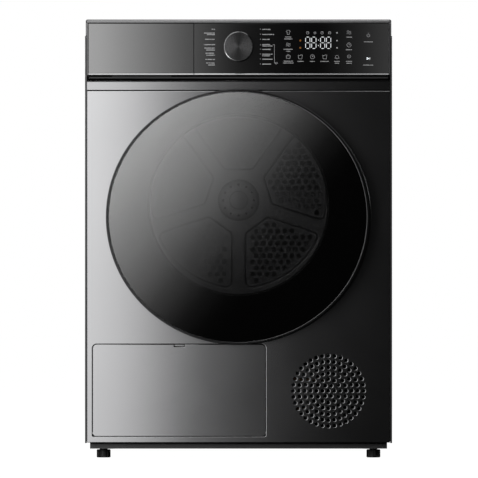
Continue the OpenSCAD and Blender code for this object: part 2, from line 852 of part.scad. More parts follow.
// Where the idler rests on the belt's outer face at the right
idler_r = 16;
idler_along = 70;
belt_span = norm([motor_x, drum_z - motor_z]);
belt_lean = acos((drum_r + skin_gap - pulley_r) / belt_span);
belt_side = atan2(drum_z - motor_z, -motor_x) + 180 + belt_lean;
idler_off = pulley_r + belt_t + skin_gap + idler_r;
idler_x = motor_x + idler_off * cos(belt_side) - idler_along * sin(belt_side);
idler_z = motor_z + idler_off * sin(belt_side) + idler_along * cos(belt_side);
pivot_x = idler_x + 6;
pivot_z = idler_z - 74;
arm_y = belt_y + 14;

module idler_arm() {
    color(steel) difference() {
        union() {
            plate(arm_y, arm_y + 4) {
                translate([idler_x, idler_z]) circle(r = 11);
                translate([pivot_x, pivot_z]) circle(r = 13);
                polygon([[pivot_x - 9, pivot_z], [pivot_x + 9, pivot_z],
                         [idler_x + 8, idler_z], [idler_x - 8, idler_z]]);
            }
            bar_y(4, belt_y - 9, arm_y, idler_x, idler_z);
        }
        bar_y(5 + run_gap, arm_y - cut, arm_y + 5, pivot_x, pivot_z);
    }
}

module idler_pulley() {
    color(white) tube_y(idler_r, 4 + run_gap, belt_y - 8, belt_y + 8, idler_x, idler_z);
}

module roller(side) {
    c = roller_centre(side);
    color(black) tube_y(roller_r, axle_r + run_gap, drum_y0 + 3.5, drum_y0 + 3.5 + roller_w, c[0], c[1]);
}

module roller_left() {
    roller(-1);
}

module roller_right() {
    roller(1);
}

// ---------------------------------------------------------------- door

// Carrier behind the glass: window hole, hinge pocket at the left, finger grip at the right
module door_frame() {
    y1 = y_face - door_gap;
    pocket_y = frame_y + frame_front_t;
    color(black) difference() {
        plate(frame_y, y1) difference() {
            door_outline(1.5);
            translate([0, open_z]) circle(r = window_r, $fn = smooth);
        }
        block([-door_a - cut, pocket_y, door_z - 38], [hinge_x + 43, y1 + cut, door_z + 38]);
        block([hinge_x + 42, pocket_y, door_z - 16.5], [hinge_x + 66, pocket_y + 3.2, door_z + 16.5]);
        block([door_a - 22, y1 - 16, door_z - 60], [door_a + cut, y1 + cut, door_z + 60]);
        for (z = [-1, 1]) plate(pocket_y + 2, y1 + cut) intersection() {
            difference() {
                door_outline(14);
                translate([0, open_z]) circle(r = open_r + 20, $fn = smooth);
            }
            translate([-150, z > 0 ? door_z + 60 : 0]) square([300, z > 0 ? 400 : door_z - 60]);
        }
    }
}

module door_glass() {
    color([0.06, 0.06, 0.07, 0.6]) plate(glass_y, frame_y) glass_outline();
}

module door_trim_ring() {
    color(steel) plate(y_front, frame_y) difference() {
        door_outline(0);
        glass_outline();
    }
}

// Ring at the back of the door that holds the window bowl and plugs into the loading hole
module door_inner_shell() {
    y1 = y_face - door_gap;
    plug_y = y_face + 16;
    color(plastic) turned_y([
        [window_r, y1], [bowl_r + 6, y1], [bowl_r + 6, y1 + 1.2], [bowl_r, y1 + 1.2],
        [bowl_r - 3, plug_y], [window_r - 4, plug_y], [window_r - 4, plug_y - 4], [window_r, plug_y - 4]],
        0, open_z);
}

// Inner glass bowl
module door_window() {
    r = window_r;
    y0 = y_face - 10;
    t = 4;
    color([0.75, 0.80, 0.82, 0.4]) turned_y([
        [r, y0], [r, y0 + t], [r - 8, y0 + t + 2], [r - 18, y_face + 20], [r - 28, y_face + 28],
        [0, y_face + 30], [0, y_face + 26], [r - 30, y_face + 24], [r - 22, y_face + 18],
        [r - 12, y0 + t], [r - 8, y0]], 0, open_z);
}

module door_seal() {
    color(black) tube_y(203, 194.5, y_face - door_gap, y_face - 0.4, 0, open_z);
}

module hinge_leaf() {
    pocket_y = frame_y + frame_front_t;
    x1 = hinge_x + 64;
    z = lug_z - 2;
    color(steel) difference() {
        union() {
            translate([hinge_x, hinge_y, door_z - z]) cylinder(r = knuckle_r, h = 2 * z);
            block([hinge_x, pocket_y, door_z - z], [x1, pocket_y + 3, door_z + z]);
        }
        translate([hinge_x, hinge_y, door_z - z - cut])
            cylinder(r = hinge_pin_r + run_gap, h = 2 * z + 2 * cut);
    }
}

// Steel hook with a catch hole
module door_hook() {
    y1 = y_face - door_gap;
    color(steel) difference() {
        union() {
            block([lock_x - 2, y1, door_z - 7], [lock_x + 2, y1 + 19, door_z + 7]);
            block([lock_x - 6, y1, door_z - 16], [lock_x + 6, y1 + 2, door_z + 16]);
        }
        block([lock_x - 3, y1 + 10, door_z - 4], [lock_x + 3, y1 + 15, door_z + 4]);
    }
}

// ---------------------------------------------------------------- tank, knob, flap, filter, feet

// Gloss front of the tank drawer with its part of the chrome strip
module tank_drawer_front() {
    color(black) {
        block([-console_x, y_face, chrome_z1 + 0.4], [drawer_x, y_face + 3, console_z1]);
        block([-console_x, y_face - 0.6, chrome_z0], [drawer_x, y_face + 2.4, chrome_z1 + 0.4]);
        block([-console_x + 4, y_face + 3, chrome_z1 + 2], [drawer_x - 2, y_face + 18, console_z1 - 3]);
    }
}

// Closed tank with a filling slot in its top near the back
module water_tank() {
    wall = 2;
    y1 = tank_y0 + tank_len;
    color(white) difference() {
        block([tank_x0, y_face + 18, tank_z0], [tank_x1, y1, tank_z1]);
        block([tank_x0 + wall, y_face + 20, tank_z0 + wall], [tank_x1 - wall, y1 - wall, tank_z1 - wall]);
        block([tank_x0 + 60, y1 - 60, tank_z1 - wall - cut], [tank_x1 - 60, y1 - 30, tank_z1 + cut]);
        translate([tank_x1 - 30, tank_y0 + 30, tank_z1 - 3]) cylinder(r = 11, h = 5);
    }
}

// Turned knob with a rim and a stem
module knob() {
    r = knob_d / 2;
    y0 = y_face - knob_proud;
    color(steel) {
        turned_y([[0, y0 + 1.2], [r - 3, y0 + 1.2], [r - 2, y0], [r - 0.8, y0], [r, y0 + 1.2],
                  [r, y_face - 1.4], [r - 1, y_face - 0.8], [0, y_face - 0.8]], 0, knob_z);
        bar_y(3, y_face - 0.8, y_face + 26, 0, knob_z);
    }
}

// Flap over the heat exchanger's filter; it turns on pins at its lower corners
module service_flap() {
    axis_y = y_face + flap_r;
    axis_z = flap_z0 + flap_r;
    pin_r = 3;
    bar_in = 4;
    notch_x = -114.4;
    color(paint) difference() {
        union() {
            translate([flap_x0 + bar_in, axis_y, axis_z]) rotate([0, 90, 0])
                cylinder(r = flap_r, h = flap_x1 - flap_x0 - 2 * bar_in);
            plate(y_face, y_face + 2 * flap_r) difference() {
                round_rect([flap_x0, flap_z0], [flap_x1, flap_z1], 8);
                translate([flap_x0 - cut, flap_z0 - cut]) square([flap_x1 - flap_x0 + 2 * cut, flap_r + cut]);
            }
            translate([flap_x0 - 4, axis_y, axis_z]) rotate([0, 90, 0])
                cylinder(r = pin_r, h = flap_x1 - flap_x0 + 8);
        }
        block([flap_x0 + 12, y_face + 2, axis_z + 8], [flap_x1 - 12, y_face + 11, flap_z1 - 10]);
        block([notch_x - 11, y_face - cut, flap_z1 - 4.4], [notch_x + 11, y_face + 6, flap_z1 + cut]);
    }
}

// Two-walled lint filter with a gripping lip that follows the throat
module lint_filter() {
    wall = 3;
    z1 = open_z - 150;
    color(plastic) difference() {
        block([-filter_x, filter_y0, filter_z0], [filter_x, filter_y1, z1]);
        bar_y(open_r + 1, filter_y0 - cut, filter_y1 + cut, 0, open_z);
        block([-filter_x + 8, filter_y0 + wall, filter_z0 + 6], [filter_x - 8, filter_y1 - wall, z1 + cut]);
        for (x = [-74, -24, 26])
            block([x, filter_y0 - cut, filter_z0 + 12], [x + 48, filter_y1 + cut, filter_z0 + 46]);
    }
}

// Levelling foot: ribbed pad, neck and threaded stem
module foot(x, y) {
    neck_r = 7.85;
    translate([x, y, 0]) color(black) difference() {
        union() {
            cylinder(r = foot_r, h = 15);
            cylinder(r = neck_r, h = base_z - 0.3);
            cylinder(r = foot_stem_r, h = 46);
        }
        for (a = [0 : 30 : 330]) rotate([0, 0, a]) translate([foot_r - 0.8, -1, 3]) cube([2, 2, 9]);
    }
}

module foot_front_left() {
    foot(-foot_x, y_face + foot_inset);
}

module foot_front_right() {
    foot(foot_x, y_face + foot_inset);
}

module foot_rear_left() {
    foot(-foot_x, y_back - foot_inset);
}

module foot_rear_right() {
    foot(foot_x, y_back - foot_inset);
}

base_tray();
side_panel_left();
side_panel_right();
rear_panel();
rear_duct_cover();
worktop();
front_panel();
upper_front_strip();
console_frame();
control_fascia();
chrome_strip();
control_board();
tank_housing();
front_bulkhead();
drum_seals();
hinge_bracket();
door_lock();
roller_axles();
rear_bearing();
drive_belt();
motor();
compressor();
evaporator();
condenser();
refrigerant_pipes();
heat_exchanger_filter();
air_duct();
fan_housing();
drain_pump();
pump_hose();
drain_spigot();
mains_inlet();
cabinet_screws();
drum_shell();
drum_rear_wall();
drum_lifters();
drum_shaft();
motor_shaft();
fan_impeller();
idler_arm();
idler_pulley();
roller_left();
roller_right();
door_frame();
door_glass();
door_trim_ring();
door_inner_shell();
door_window();
door_seal();
hinge_leaf();
door_hook();
tank_drawer_front();
water_tank();
knob();
service_flap();
lint_filter();
foot_front_left();
foot_front_right();
foot_rear_left();
foot_rear_right();
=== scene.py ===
import math
import random

import bmesh
import bpy
from mathutils import Matrix, Vector


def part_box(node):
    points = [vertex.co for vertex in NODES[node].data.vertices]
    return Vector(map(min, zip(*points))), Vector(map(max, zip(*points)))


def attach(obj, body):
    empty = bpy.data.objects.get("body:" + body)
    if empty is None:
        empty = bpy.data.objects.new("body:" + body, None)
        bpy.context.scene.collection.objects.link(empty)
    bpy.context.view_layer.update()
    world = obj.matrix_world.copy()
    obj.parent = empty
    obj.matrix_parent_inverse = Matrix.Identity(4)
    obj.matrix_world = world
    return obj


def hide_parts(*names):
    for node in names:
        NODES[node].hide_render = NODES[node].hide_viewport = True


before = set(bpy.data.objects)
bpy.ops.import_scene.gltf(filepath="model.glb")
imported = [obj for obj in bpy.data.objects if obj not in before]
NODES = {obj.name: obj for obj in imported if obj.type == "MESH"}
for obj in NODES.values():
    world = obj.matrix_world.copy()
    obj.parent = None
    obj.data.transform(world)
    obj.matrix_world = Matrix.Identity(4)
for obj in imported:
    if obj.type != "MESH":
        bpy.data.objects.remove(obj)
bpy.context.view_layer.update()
scene = bpy.context.scene
rng = random.Random(7)


# -------- sizes, all in millimetres

def span(node):
    """The low and the high corner of a CAD node."""
    low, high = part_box(node)
    return [v * 1000 for v in low], [v * 1000 for v in high]


panel_lo, panel_hi = span("front_panel")
strip_lo, strip_hi = span("upper_front_strip")
fascia_lo, fascia_hi = span("control_fascia")
chrome_lo, chrome_hi = span("chrome_strip")
drawer_lo, drawer_hi = span("tank_drawer_front")
worktop_lo, worktop_hi = span("worktop")
side_lo, side_hi = span("side_panel_right")
ring_lo, ring_hi = span("door_trim_ring")
glass_lo, glass_hi = span("door_glass")
window_lo, window_hi = span("door_window")
shell_lo, shell_hi = span("drum_shell")
wall_hi = span("drum_rear_wall")[1]
knob_lo, knob_hi = span("knob")
duct_lo, duct_hi = span("rear_duct_cover")
base_lo, base_hi = span("base_tray")

# Planes, centres and half sizes of the frame
FACE = panel_lo[1]
SIDE_X = side_hi[0]
DOOR_Z = (ring_lo[2] + ring_hi[2]) / 2
OPEN_Z = (window_lo[2] + window_hi[2]) / 2
DRUM_Z = (shell_lo[2] + shell_hi[2]) / 2
KNOB_Z = (knob_lo[2] + knob_hi[2]) / 2
KNOB_R = (knob_hi[0] - knob_lo[0]) / 2
RING_A = (ring_hi[0] - ring_lo[0]) / 2
RING_B = (ring_hi[2] - ring_lo[2]) / 2
GLASS_A = (glass_hi[0] - glass_lo[0]) / 2
GLASS_B = (glass_hi[2] - glass_lo[2]) / 2
GLASS_X = (glass_hi[0] + glass_lo[0]) / 2

# Sizes that no box of the frame gives
SHEET = 1.2  # thickness of the painted sheets
SLAB = 6.5  # thickness of the worktop's top slab
OPEN_R = 192  # radius of the loading hole
FLAP = (-282.4, 42.5, 52.1, 220.0)  # left, bottom, right and top of the flap's face
FLAP_NOTCH = (-114.4, 11.0, 4.4)  # centre, half width and depth of the notch in its top edge
VENT = (174, 130)  # centre of the round vent
VENT_COUNTS = (1, 6, 12, 20, 24, 32, 36)  # holes in the vent's rings, from the centre outwards
VENT_PITCH = 11.4  # step from one ring of holes to the next
GRIP = (-245.8, -130.3)  # ends of the finger scoop under the drawer
SEAM = 0.45  # taken off the drawer and off the fascia at the seam between them
SOFT = 0.3  # edge radius of small hidden blocks


# -------- mesh helpers, all in millimetres

def place(axis, u, v, d):
    """A point whose plane coordinates are u and v, at depth d along the axis."""
    return {"Y": (u, d, v), "Z": (u, v, d), "X": (d, u, v)}[axis]


def area(loop):
    return sum(a[0] * b[1] - b[0] * a[1] for a, b in zip(loop, loop[1:] + loop[:1])) / 2


def inset(loop, d):
    """The loop moved by d to the left of its direction of travel."""
    if d == 0:
        return loop
    out = []
    for i, p in enumerate(loop):
        a, b = loop[i - 1], loop[(i + 1) % len(loop)]
        e1 = Vector((p[0] - a[0], p[1] - a[1])).normalized()
        e2 = Vector((b[0] - p[0], b[1] - p[1])).normalized()
        n1, n2 = Vector((-e1.y, e1.x)), Vector((-e2.y, e2.x))
        m = (n1 + n2) / max(0.3, 1 + n1.dot(n2))
        out.append((p[0] + m.x * d, p[1] + m.y * d))
    return out


def edge_layers(d0, d1, r0, r1, steps):
    """(inset, depth) pairs of a plate's edge, rounded by r0 at d0 and by r1 at d1."""
    layers = []
    for i in range(steps + 1):
        t = math.pi / 2 * i / steps
        layers.append((r0 * (1 - math.sin(t)), d0 + r0 * (1 - math.cos(t))))
    for i in range(steps + 1):
        t = math.pi / 2 * i / steps
        layers.append((r1 * (1 - math.cos(t)), d1 - r1 * (1 - math.sin(t))))
    if r0 == 0:
        layers = layers[steps:]
    if r1 == 0:
        layers = layers[:len(layers) - steps]
    return layers


def plate(bm, loops, d0, d1, r0=0.5, r1=0.0, steps=2, axis="Y"):
    """A plate with holes: the first loop is its outline, the others are holes."""
    layers = edge_layers(d0, d1, r0, r1, steps)
    first, last = [], []
    for k, loop in enumerate(loops):
        loop = list(loop)
        if (area(loop) > 0) != (k == 0):
            loop.reverse()
        rings = []
        for shift, depth in layers:
            rings.append([bm.verts.new(place(axis, u, v, depth)) for u, v in inset(loop, shift)])
        n = len(loop)
        for a, b in zip(rings, rings[1:]):
            for i in range(n):
                bm.faces.new((a[i], a[(i + 1) % n], b[(i + 1) % n], b[i])).smooth = True
        for ring, store in ((rings[0], first), (rings[-1], last)):
            for i in range(n):
                store.append(bm.edges.get((ring[i], ring[(i + 1) % n])))
    for edges in (first, last):
        for item in bmesh.ops.triangle_fill(bm, use_beauty=True, edges=edges)["geom"]:
            if isinstance(item, bmesh.types.BMFace):
                item.smooth = False


def lathe(bm, profile, u, v, steps=128, axis="Y", closed=False):
    """A surface turned about the axis through (u, v); the profile is a list of (radius, depth)."""
    rings = []
    for r, d in profile:
        if r < 1e-6:
            rings.append([bm.verts.new(place(axis, u, v, d))])
            continue
        turn = [2 * math.pi * i / steps for i in range(steps)]
        rings.append([bm.verts.new(place(axis, u + r * math.cos(t), v + r * math.sin(t), d)) for t in turn])
    pairs = list(zip(rings, rings[1:]))
    if closed:
        pairs.append((rings[-1], rings[0]))
    for a, b in pairs:
        for i in range(steps):
            j = (i + 1) % steps
            if len(a) == 1 and len(b) > 1:
                bm.faces.new((a[0], b[i], b[j])).smooth = True
            elif len(b) == 1 and len(a) > 1:
                bm.faces.new((a[i], b[0], a[j])).smooth = True
            elif len(a) > 1:
                bm.faces.new((a[i], a[j], b[j], b[i])).smooth = True


def block(bm, low, high, r=0.6, steps=2):
    """A box with rounded edges."""
    made = bmesh.ops.create_cube(bm, size=1)["verts"]
    for v in made:
        v.co = Vector([low[k] + (v.co[k] + 0.5) * (high[k] - low[k]) for k in range(3)])
    if r:
        edges = list({e for v in made for e in v.link_edges})
        bmesh.ops.bevel(bm, geom=edges, offset=r, segments=steps, profile=0.5, affect="EDGES")


def trim_bar(bm, x0, x1, low, high):
    """A trim bar along X: above a small nose its face leans back up to the top edge."""
    y0, y1, z0, z1 = low[1], high[1], low[2], high[2]
    nose = z0 + 0.9
    lean = 0.42 * (z1 - nose)
    section = [(y1, z0), (y1, z1), (y0 + lean + 0.3, z1), (y0 + lean + 0.05, z1 - 0.08),
               (y0 + 0.08, nose + 0.2), (y0, nose), (y0 + 0.2, nose - 0.15), (y0 + 1.6, z0)]
    plate(bm, [section], x0, x1, r0=0.0, r1=0.0, axis="X")


def bead(bm, loop, depth, r, steps=8, axis="Y"):
    """A round bead that follows a closed loop."""
    rings = []
    for i, p in enumerate(loop):
        a, b = loop[i - 1], loop[(i + 1) % len(loop)]
        t = Vector((b[0] - a[0], b[1] - a[1])).normalized()
        n = Vector((-t.y, t.x))
        ring = []
        for k in range(steps):
            w = 2 * math.pi * k / steps
            q = (p[0] + n.x * r * math.cos(w), p[1] + n.y * r * math.cos(w))
            ring.append(bm.verts.new(place(axis, q[0], q[1], depth + r * math.sin(w))))
        rings.append(ring)
    for a, b in zip(rings, rings[1:] + rings[:1]):
        for k in range(steps):
            j = (k + 1) % steps
            bm.faces.new((a[k], b[k], b[j], a[j])).smooth = True


def stroke(bm, p, q, w, d0, d1):
    """A thin straight mark from p to q, of width w."""
    t = (Vector(q) - Vector(p)).normalized() * (w / 2)
    n = Vector((-t.y, t.x))
    corners = [Vector(p) - t + n, Vector(p) - t - n, Vector(q) + t - n, Vector(q) + t + n]
    a = [bm.verts.new((c.x, d0, c.y)) for c in corners]
    b = [bm.verts.new((c.x, d1, c.y)) for c in corners]
    bm.faces.new(a)
    bm.faces.new(b[::-1])
    for i in range(4):
        j = (i + 1) % 4
        bm.faces.new((a[i], b[i], b[j], a[j]))


def circle(u, v, r, n=48):
    turn = [2 * math.pi * i / n for i in range(n)]
    return [(u + r * math.cos(t), v + r * math.sin(t)) for t in turn]


def arc(u, v, r, a0, a1, n):
    """n + 1 points of an arc about (u, v), from a0 to a1 degrees."""
    turn = [math.radians(a0 + (a1 - a0) * i / n) for i in range(n + 1)]
    return [(u + r * math.cos(t), v + r * math.sin(t)) for t in turn]


def round_rect(u0, v0, u1, v1, r, n=6, low_r=None):
    """A rectangle with rounded corners; the two lower corners can have a radius of their own."""
    q = r if low_r is None else low_r
    return (arc(u1 - q, v0 + q, q, -90, 0, n) + arc(u1 - r, v1 - r, r, 0, 90, n)
            + arc(u0 + r, v1 - r, r, 90, 180, n) + arc(u0 + q, v0 + q, q, 180, 270, n))


def rounded(points, r, n=5):
    """The polygon with each corner rounded by r; corners too sharp for r get less."""
    out = []
    for i, p in enumerate(points):
        p = Vector(p)
        a = Vector(points[i - 1]) - p
        b = Vector(points[(i + 1) % len(points)]) - p
        half = a.angle(b) / 2
        reach = min(r / math.tan(half), a.length * 0.45, b.length * 0.45)
        rr = reach * math.tan(half)
        centre = p + (a.normalized() + b.normalized()).normalized() * (rr / math.sin(half))
        s, e = p + a.normalized() * reach - centre, p + b.normalized() * reach - centre
        sweep = s.angle_signed(e) * -1
        for k in range(n + 1):
            out.append(tuple(centre + Matrix.Rotation(sweep * k / n, 2) @ s))
    return out


def oval(cx, cz, a, b, n=256):
    """An oval of four arcs, sampled evenly by the direction of its normal."""
    end_r = a - (a - b) * (1 + math.sqrt(0.5))
    end_c = a - end_r
    flat_r = (end_c ** 2 + b ** 2 - end_r ** 2) / (2 * (b - end_r))
    flat_c = flat_r - b
    join = math.atan2(flat_c, end_c)
    out = []
    for i in range(n):
        t = 2 * math.pi * i / n
        c, s = math.cos(t), math.sin(t)
        if abs(s) <= math.sin(join):
            out.append((cx + math.copysign(end_c, c) + end_r * c, cz + end_r * s))
        else:
            out.append((cx + flat_r * c, cz - math.copysign(flat_c, s) + flat_r * s))
    return out


def loft(bm, loops, closed=True):
    """A skin through loops of (x, y, z) points with the same count."""
    rings = [[bm.verts.new(p) for p in loop] for loop in loops]
    n = len(rings[0])
    pairs = list(zip(rings, rings[1:])) + ([(rings[-1], rings[0])] if closed else [])
    for a, b in pairs:
        for i in range(n):
            j = (i + 1) % n
            bm.faces.new((a[i], a[j], b[j], b[i])).smooth = True


def piece(name, bm, material, body, replaces=(), sharp=32):
    """Makes the object, in metres, and gives it its body, slot and CAD node."""
    bmesh.ops.recalc_face_normals(bm, faces=bm.faces)
    for edge in bm.edges:
        edge.smooth = len(edge.link_faces) == 2 and edge.calc_face_angle(0) < math.radians(sharp)
    mesh = bpy.data.meshes.new(name)
    bm.to_mesh(mesh)
    bm.free()
    mesh.transform(Matrix.Scale(0.001, 4))
    mesh.materials.append(material)
    obj = bpy.data.objects.new(name, mesh)
    scene.collection.objects.link(obj)
    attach(obj, body)
    if replaces:
        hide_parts(*replaces)
    return obj


# -------- materials

NOISE_LOW, NOISE_HIGH = 0.6, 1.4    # the sum of the two noises stays about between these
BUMP_DEPTH = 0.0002                 # metres


def add_node(tree, kind, **inputs):
    """A new shader node; its inputs are set by name, with an underscore for each space."""
    made = tree.nodes.new("ShaderNode" + kind)
    for key, value in inputs.items():
        made.inputs[key.replace("_", " ")].default_value = value
    return made


def surface(name, tone, rough, metal=0.0, vary=0.1, rough_vary=0.08, stretch=(1, 1, 1), grain=700.0,
            coarse=7.0, bump=0.15, alpha=1.0, emit=0.0, tangent=None, **sockets):
    """A procedural finish: fine and wide noise vary its colour and roughness, and fine noise its relief."""
    m = bpy.data.materials.new(name)
    m.use_nodes = True
    tree = m.node_tree
    link = tree.links.new
    shader = tree.nodes["Principled BSDF"]
    where = add_node(tree, "TexCoord")
    scale = add_node(tree, "Mapping", Scale=stretch)
    fine = add_node(tree, "TexNoise", Scale=grain, Detail=3)
    wide = add_node(tree, "TexNoise", Scale=coarse, Detail=2)
    link(where.outputs["Object"], scale.inputs["Vector"])
    link(scale.outputs["Vector"], fine.inputs["Vector"])
    link(where.outputs["Object"], wide.inputs["Vector"])
    both = add_node(tree, "Math")
    both.operation = "ADD"
    link(fine.outputs["Fac"], both.inputs[0])
    link(wide.outputs["Fac"], both.inputs[1])
    share = add_node(tree, "MapRange", From_Min=NOISE_LOW, From_Max=NOISE_HIGH)
    link(both.outputs[0], share.inputs["Value"])
    mix = add_node(tree, "Mix")
    mix.data_type = "RGBA"
    mix.inputs["A"].default_value = (*[c * (1 - vary) for c in tone], 1)
    mix.inputs["B"].default_value = (*[min(1, c * (1 + vary)) for c in tone], 1)
    link(share.outputs["Result"], mix.inputs["Factor"])
    link(mix.outputs["Result"], shader.inputs["Base Color"])
    polish = add_node(tree, "MapRange", From_Min=NOISE_LOW, From_Max=NOISE_HIGH,
                      To_Min=max(0.02, rough - rough_vary), To_Max=min(1, rough + rough_vary))
    link(both.outputs[0], polish.inputs["Value"])
    link(polish.outputs["Result"], shader.inputs["Roughness"])
    if bump:
        relief = add_node(tree, "Bump", Strength=bump, Distance=BUMP_DEPTH)
        link(fine.outputs["Fac"], relief.inputs["Height"])
        link(relief.outputs["Normal"], shader.inputs["Normal"])
    if tangent:
        turned = add_node(tree, "Tangent")
        turned.direction_type = "RADIAL"
        turned.axis = tangent
        link(turned.outputs["Tangent"], shader.inputs["Tangent"])
    shader.inputs["Metallic"].default_value = metal
    shader.inputs["Alpha"].default_value = alpha
    if emit:
        link(mix.outputs["Result"], shader.inputs["Emission Color"])
        shader.inputs["Emission Strength"].default_value = emit
    for socket, value in sockets.items():
        shader.inputs[socket.replace("_", " ")].default_value = value
    return m


def grey(v):
    """A neutral tone with a trace of blue."""
    return (v, v, v * 1.015)


# Metals; BRUSH stretches the fine noise into lines along X
BRUSH = (0.02, 1, 1)
inox = surface("brushed_inox", grey(0.55), 0.185, 1, vary=0.05, rough_vary=0.02, stretch=BRUSH,
               grain=2600, bump=0.02)
# The panel's inox in a darker tone for the strip under the console: painted shade.
strip_inox_painted_shade = surface("brushed_inox_with_painted_shade", grey(0.46), 0.185, 1, vary=0.05, rough_vary=0.02,
                     stretch=BRUSH, grain=2600, bump=0.02)
chrome = surface("dark_chrome", grey(0.62), 0.16, 1, vary=0.04, rough_vary=0.04, stretch=BRUSH, bump=0.01)
ring_metal = surface("door_ring_metal", grey(0.07), 0.25, 1, vary=0.06, rough_vary=0.05, grain=900,
                     bump=0.02)
dim_line = surface("door_ring_line_metal", grey(0.2), 0.25, 1, vary=0.06, rough_vary=0.05, grain=900,
                   bump=0.01)
knob_face = surface("knob_spun_metal", grey(0.23), 0.15, 1, vary=0.06, rough_vary=0.02, grain=900,
                    bump=0.01, tangent="Y", Anisotropic=1.0, Anisotropic_Rotation=0.25)
chrome_knob = surface("knob_rim_metal", grey(0.26), 0.2, 1, vary=0.06, rough_vary=0.05, grain=900,
                      bump=0.01)
end_trim = surface("console_end_metal", grey(0.2), 0.4, 0.8, vary=0.06, grain=900, bump=0.02)
zinc = surface("zinc_coated_sheet", grey(0.56), 0.46, 0.85, vary=0.07, rough_vary=0.04, grain=160,
               coarse=60, bump=0.05)
bright_steel = surface("zinc_plated_steel", grey(0.58), 0.3, 1, vary=0.06, grain=700, bump=0.04)
drum_steel = surface("rolled_stainless", grey(0.6), 0.36, 0.75, vary=0.06, stretch=(1, 0.03, 1),
                     grain=1500, bump=0.03)
alloy = surface("cast_alloy", grey(0.42), 0.5, 0.9, vary=0.12, grain=420, bump=0.3)
fins = surface("fin_aluminium_sheet", grey(0.66), 0.35, 1, vary=0.08, grain=500, bump=0.08)
copper = surface("drawn_copper", (0.66, 0.32, 0.18), 0.3, 1, vary=0.16, grain=260, coarse=30, bump=0.05)

# Paint, laminate and lacquer
paint = surface("cabinet_satin_paint", grey(0.085), 0.42, 0.25, grain=420, bump=0.12,
                Coat_Weight=0.25, Coat_Roughness=0.3)
top_board = surface("worktop_laminate", grey(0.27), 0.26, 0.3, vary=0.05, rough_vary=0.02, grain=900,
                    bump=0.06)
board = surface("circuit_board_lacquer", (0.02, 0.14, 0.06), 0.38, vary=0.35, grain=260, coarse=90)
compressor_black = surface("compressor_enamel", grey(0.02), 0.34, vary=0.2, grain=300,
                           Coat_Weight=0.4, Coat_Roughness=0.2)

# Plastics, rubber and felt
gloss = surface("gloss_black_panel", grey(0.003), 0.1, vary=0.3, rough_vary=0.02, grain=500, bump=0.01,
                Coat_Weight=1.0, Coat_Roughness=0.07)
grey_plastic = surface("grey_moulded_plastic", grey(0.07), 0.5, grain=1100)
black_plastic = surface("black_moulded_plastic", grey(0.02), 0.48, vary=0.2, grain=1200)
foot_plastic = surface("foot_moulded_plastic", grey(0.032), 0.45, vary=0.2, grain=1200)
base_plastic = surface("base_moulded_plastic", grey(0.12), 0.46, grain=900, bump=0.12)
white_plastic = surface("white_moulded_plastic", (0.62, 0.63, 0.63), 0.42, vary=0.04, grain=1000,
                        bump=0.08)
filter_plastic = surface("filter_frame_plastic", grey(0.26), 0.46, grain=1100, bump=0.12)
# Near black with little shine: painted shade where it fills the seams and the slots of the recess; on the
# door frame it stands for its black plastic.
black_plastic_and_painted_shade = surface("near_black_plastic_and_painted_shade", grey(0.002), 0.8, vary=0.2, grain=900, bump=0.1,
                       Specular_IOR_Level=0.1)
rubber = surface("black_rubber_matt", grey(0.018), 0.72, vary=0.2, grain=900, bump=0.25)
felt = surface("pressed_felt", (0.55, 0.52, 0.46), 0.95, vary=0.16, grain=1800, bump=0.6,
               Sheen_Weight=0.4)

# Glass, print with a painted glow, and lamps
tint = surface("tinted_door_glass", grey(0.001), 0.07, vary=0.03, rough_vary=0.01, grain=60, bump=0.0,
               alpha=0.45, Coat_Weight=1.0, Coat_Roughness=0.04)
clear = surface("clear_bowl_glass", grey(0.02), 0.07, vary=0.03, rough_vary=0.02, grain=60, bump=0.0,
                alpha=0.07)
# The ink also glows a little though it is no lamp: painted light.
print_with_painted_glow = surface("printed_symbols_with_painted_glow", grey(0.62), 0.5, vary=0.1, emit=0.2, grain=900, bump=0.05)
lit_digits = surface("lit_segments", (0.9, 0.93, 0.95), 0.5, vary=0.05, emit=0.7, grain=900, bump=0.0)
amber = surface("amber_lamp", (0.32, 0.12, 0.01), 0.5, vary=0.08, emit=0.2, grain=900, bump=0.0)

SLOT_FINISH = {
    "front_metal": inox, "cabinet_paint": paint, "worktop_board": top_board, "zinc_sheet": zinc,
    "gloss_black": gloss, "chrome_trim": chrome, "knob_metal": knob_face, "grey_plastic": grey_plastic,
    "black_plastic": black_plastic, "white_plastic": white_plastic, "filter_plastic": filter_plastic,
    "circuit_board": board, "felt": felt, "bright_steel": bright_steel, "drum_steel": drum_steel,
    "black_rubber": rubber, "motor_alloy": alloy, "compressor_paint": compressor_black,
    "fin_aluminium": fins, "copper_pipe": copper, "tinted_glass": tint, "clear_glass": clear,
}
for node in NODES.values():
    for part in node.material_slots:
        part.material = SLOT_FINISH[part.material.name.split(".")[0]]
NODES["base_tray"].material_slots[0].material = base_plastic
# The door frame behind the pane gets the same near black as the blocks of painted shade.
NODES["door_frame"].material_slots[0].material = black_plastic_and_painted_shade


# -------- cabinet

def make_worktop():
    bm = bmesh.new()
    x, y0, y1, top = worktop_hi[0], worktop_lo[1], worktop_hi[1], worktop_hi[2]
    under = top - SLAB
    rim_w, rim_top = 5, under - 0.05
    plate(bm, [round_rect(-x, y0, x, y1, 5)], under, top, r0=0.8, r1=3.6, steps=7, axis="Z")
    for s in (-1, 1):
        a, b = sorted((s * x, s * (x - rim_w)))
        block(bm, (a, y0 + 2, worktop_lo[2]), (b, y1 - 4, rim_top), 0.8)
    block(bm, (-x + rim_w, y1 - 12, top - 22), (x - rim_w, y1 - 8, rim_top), 0.5)
    piece("worktop_slab", bm, top_board, "cabinet", ["worktop"])


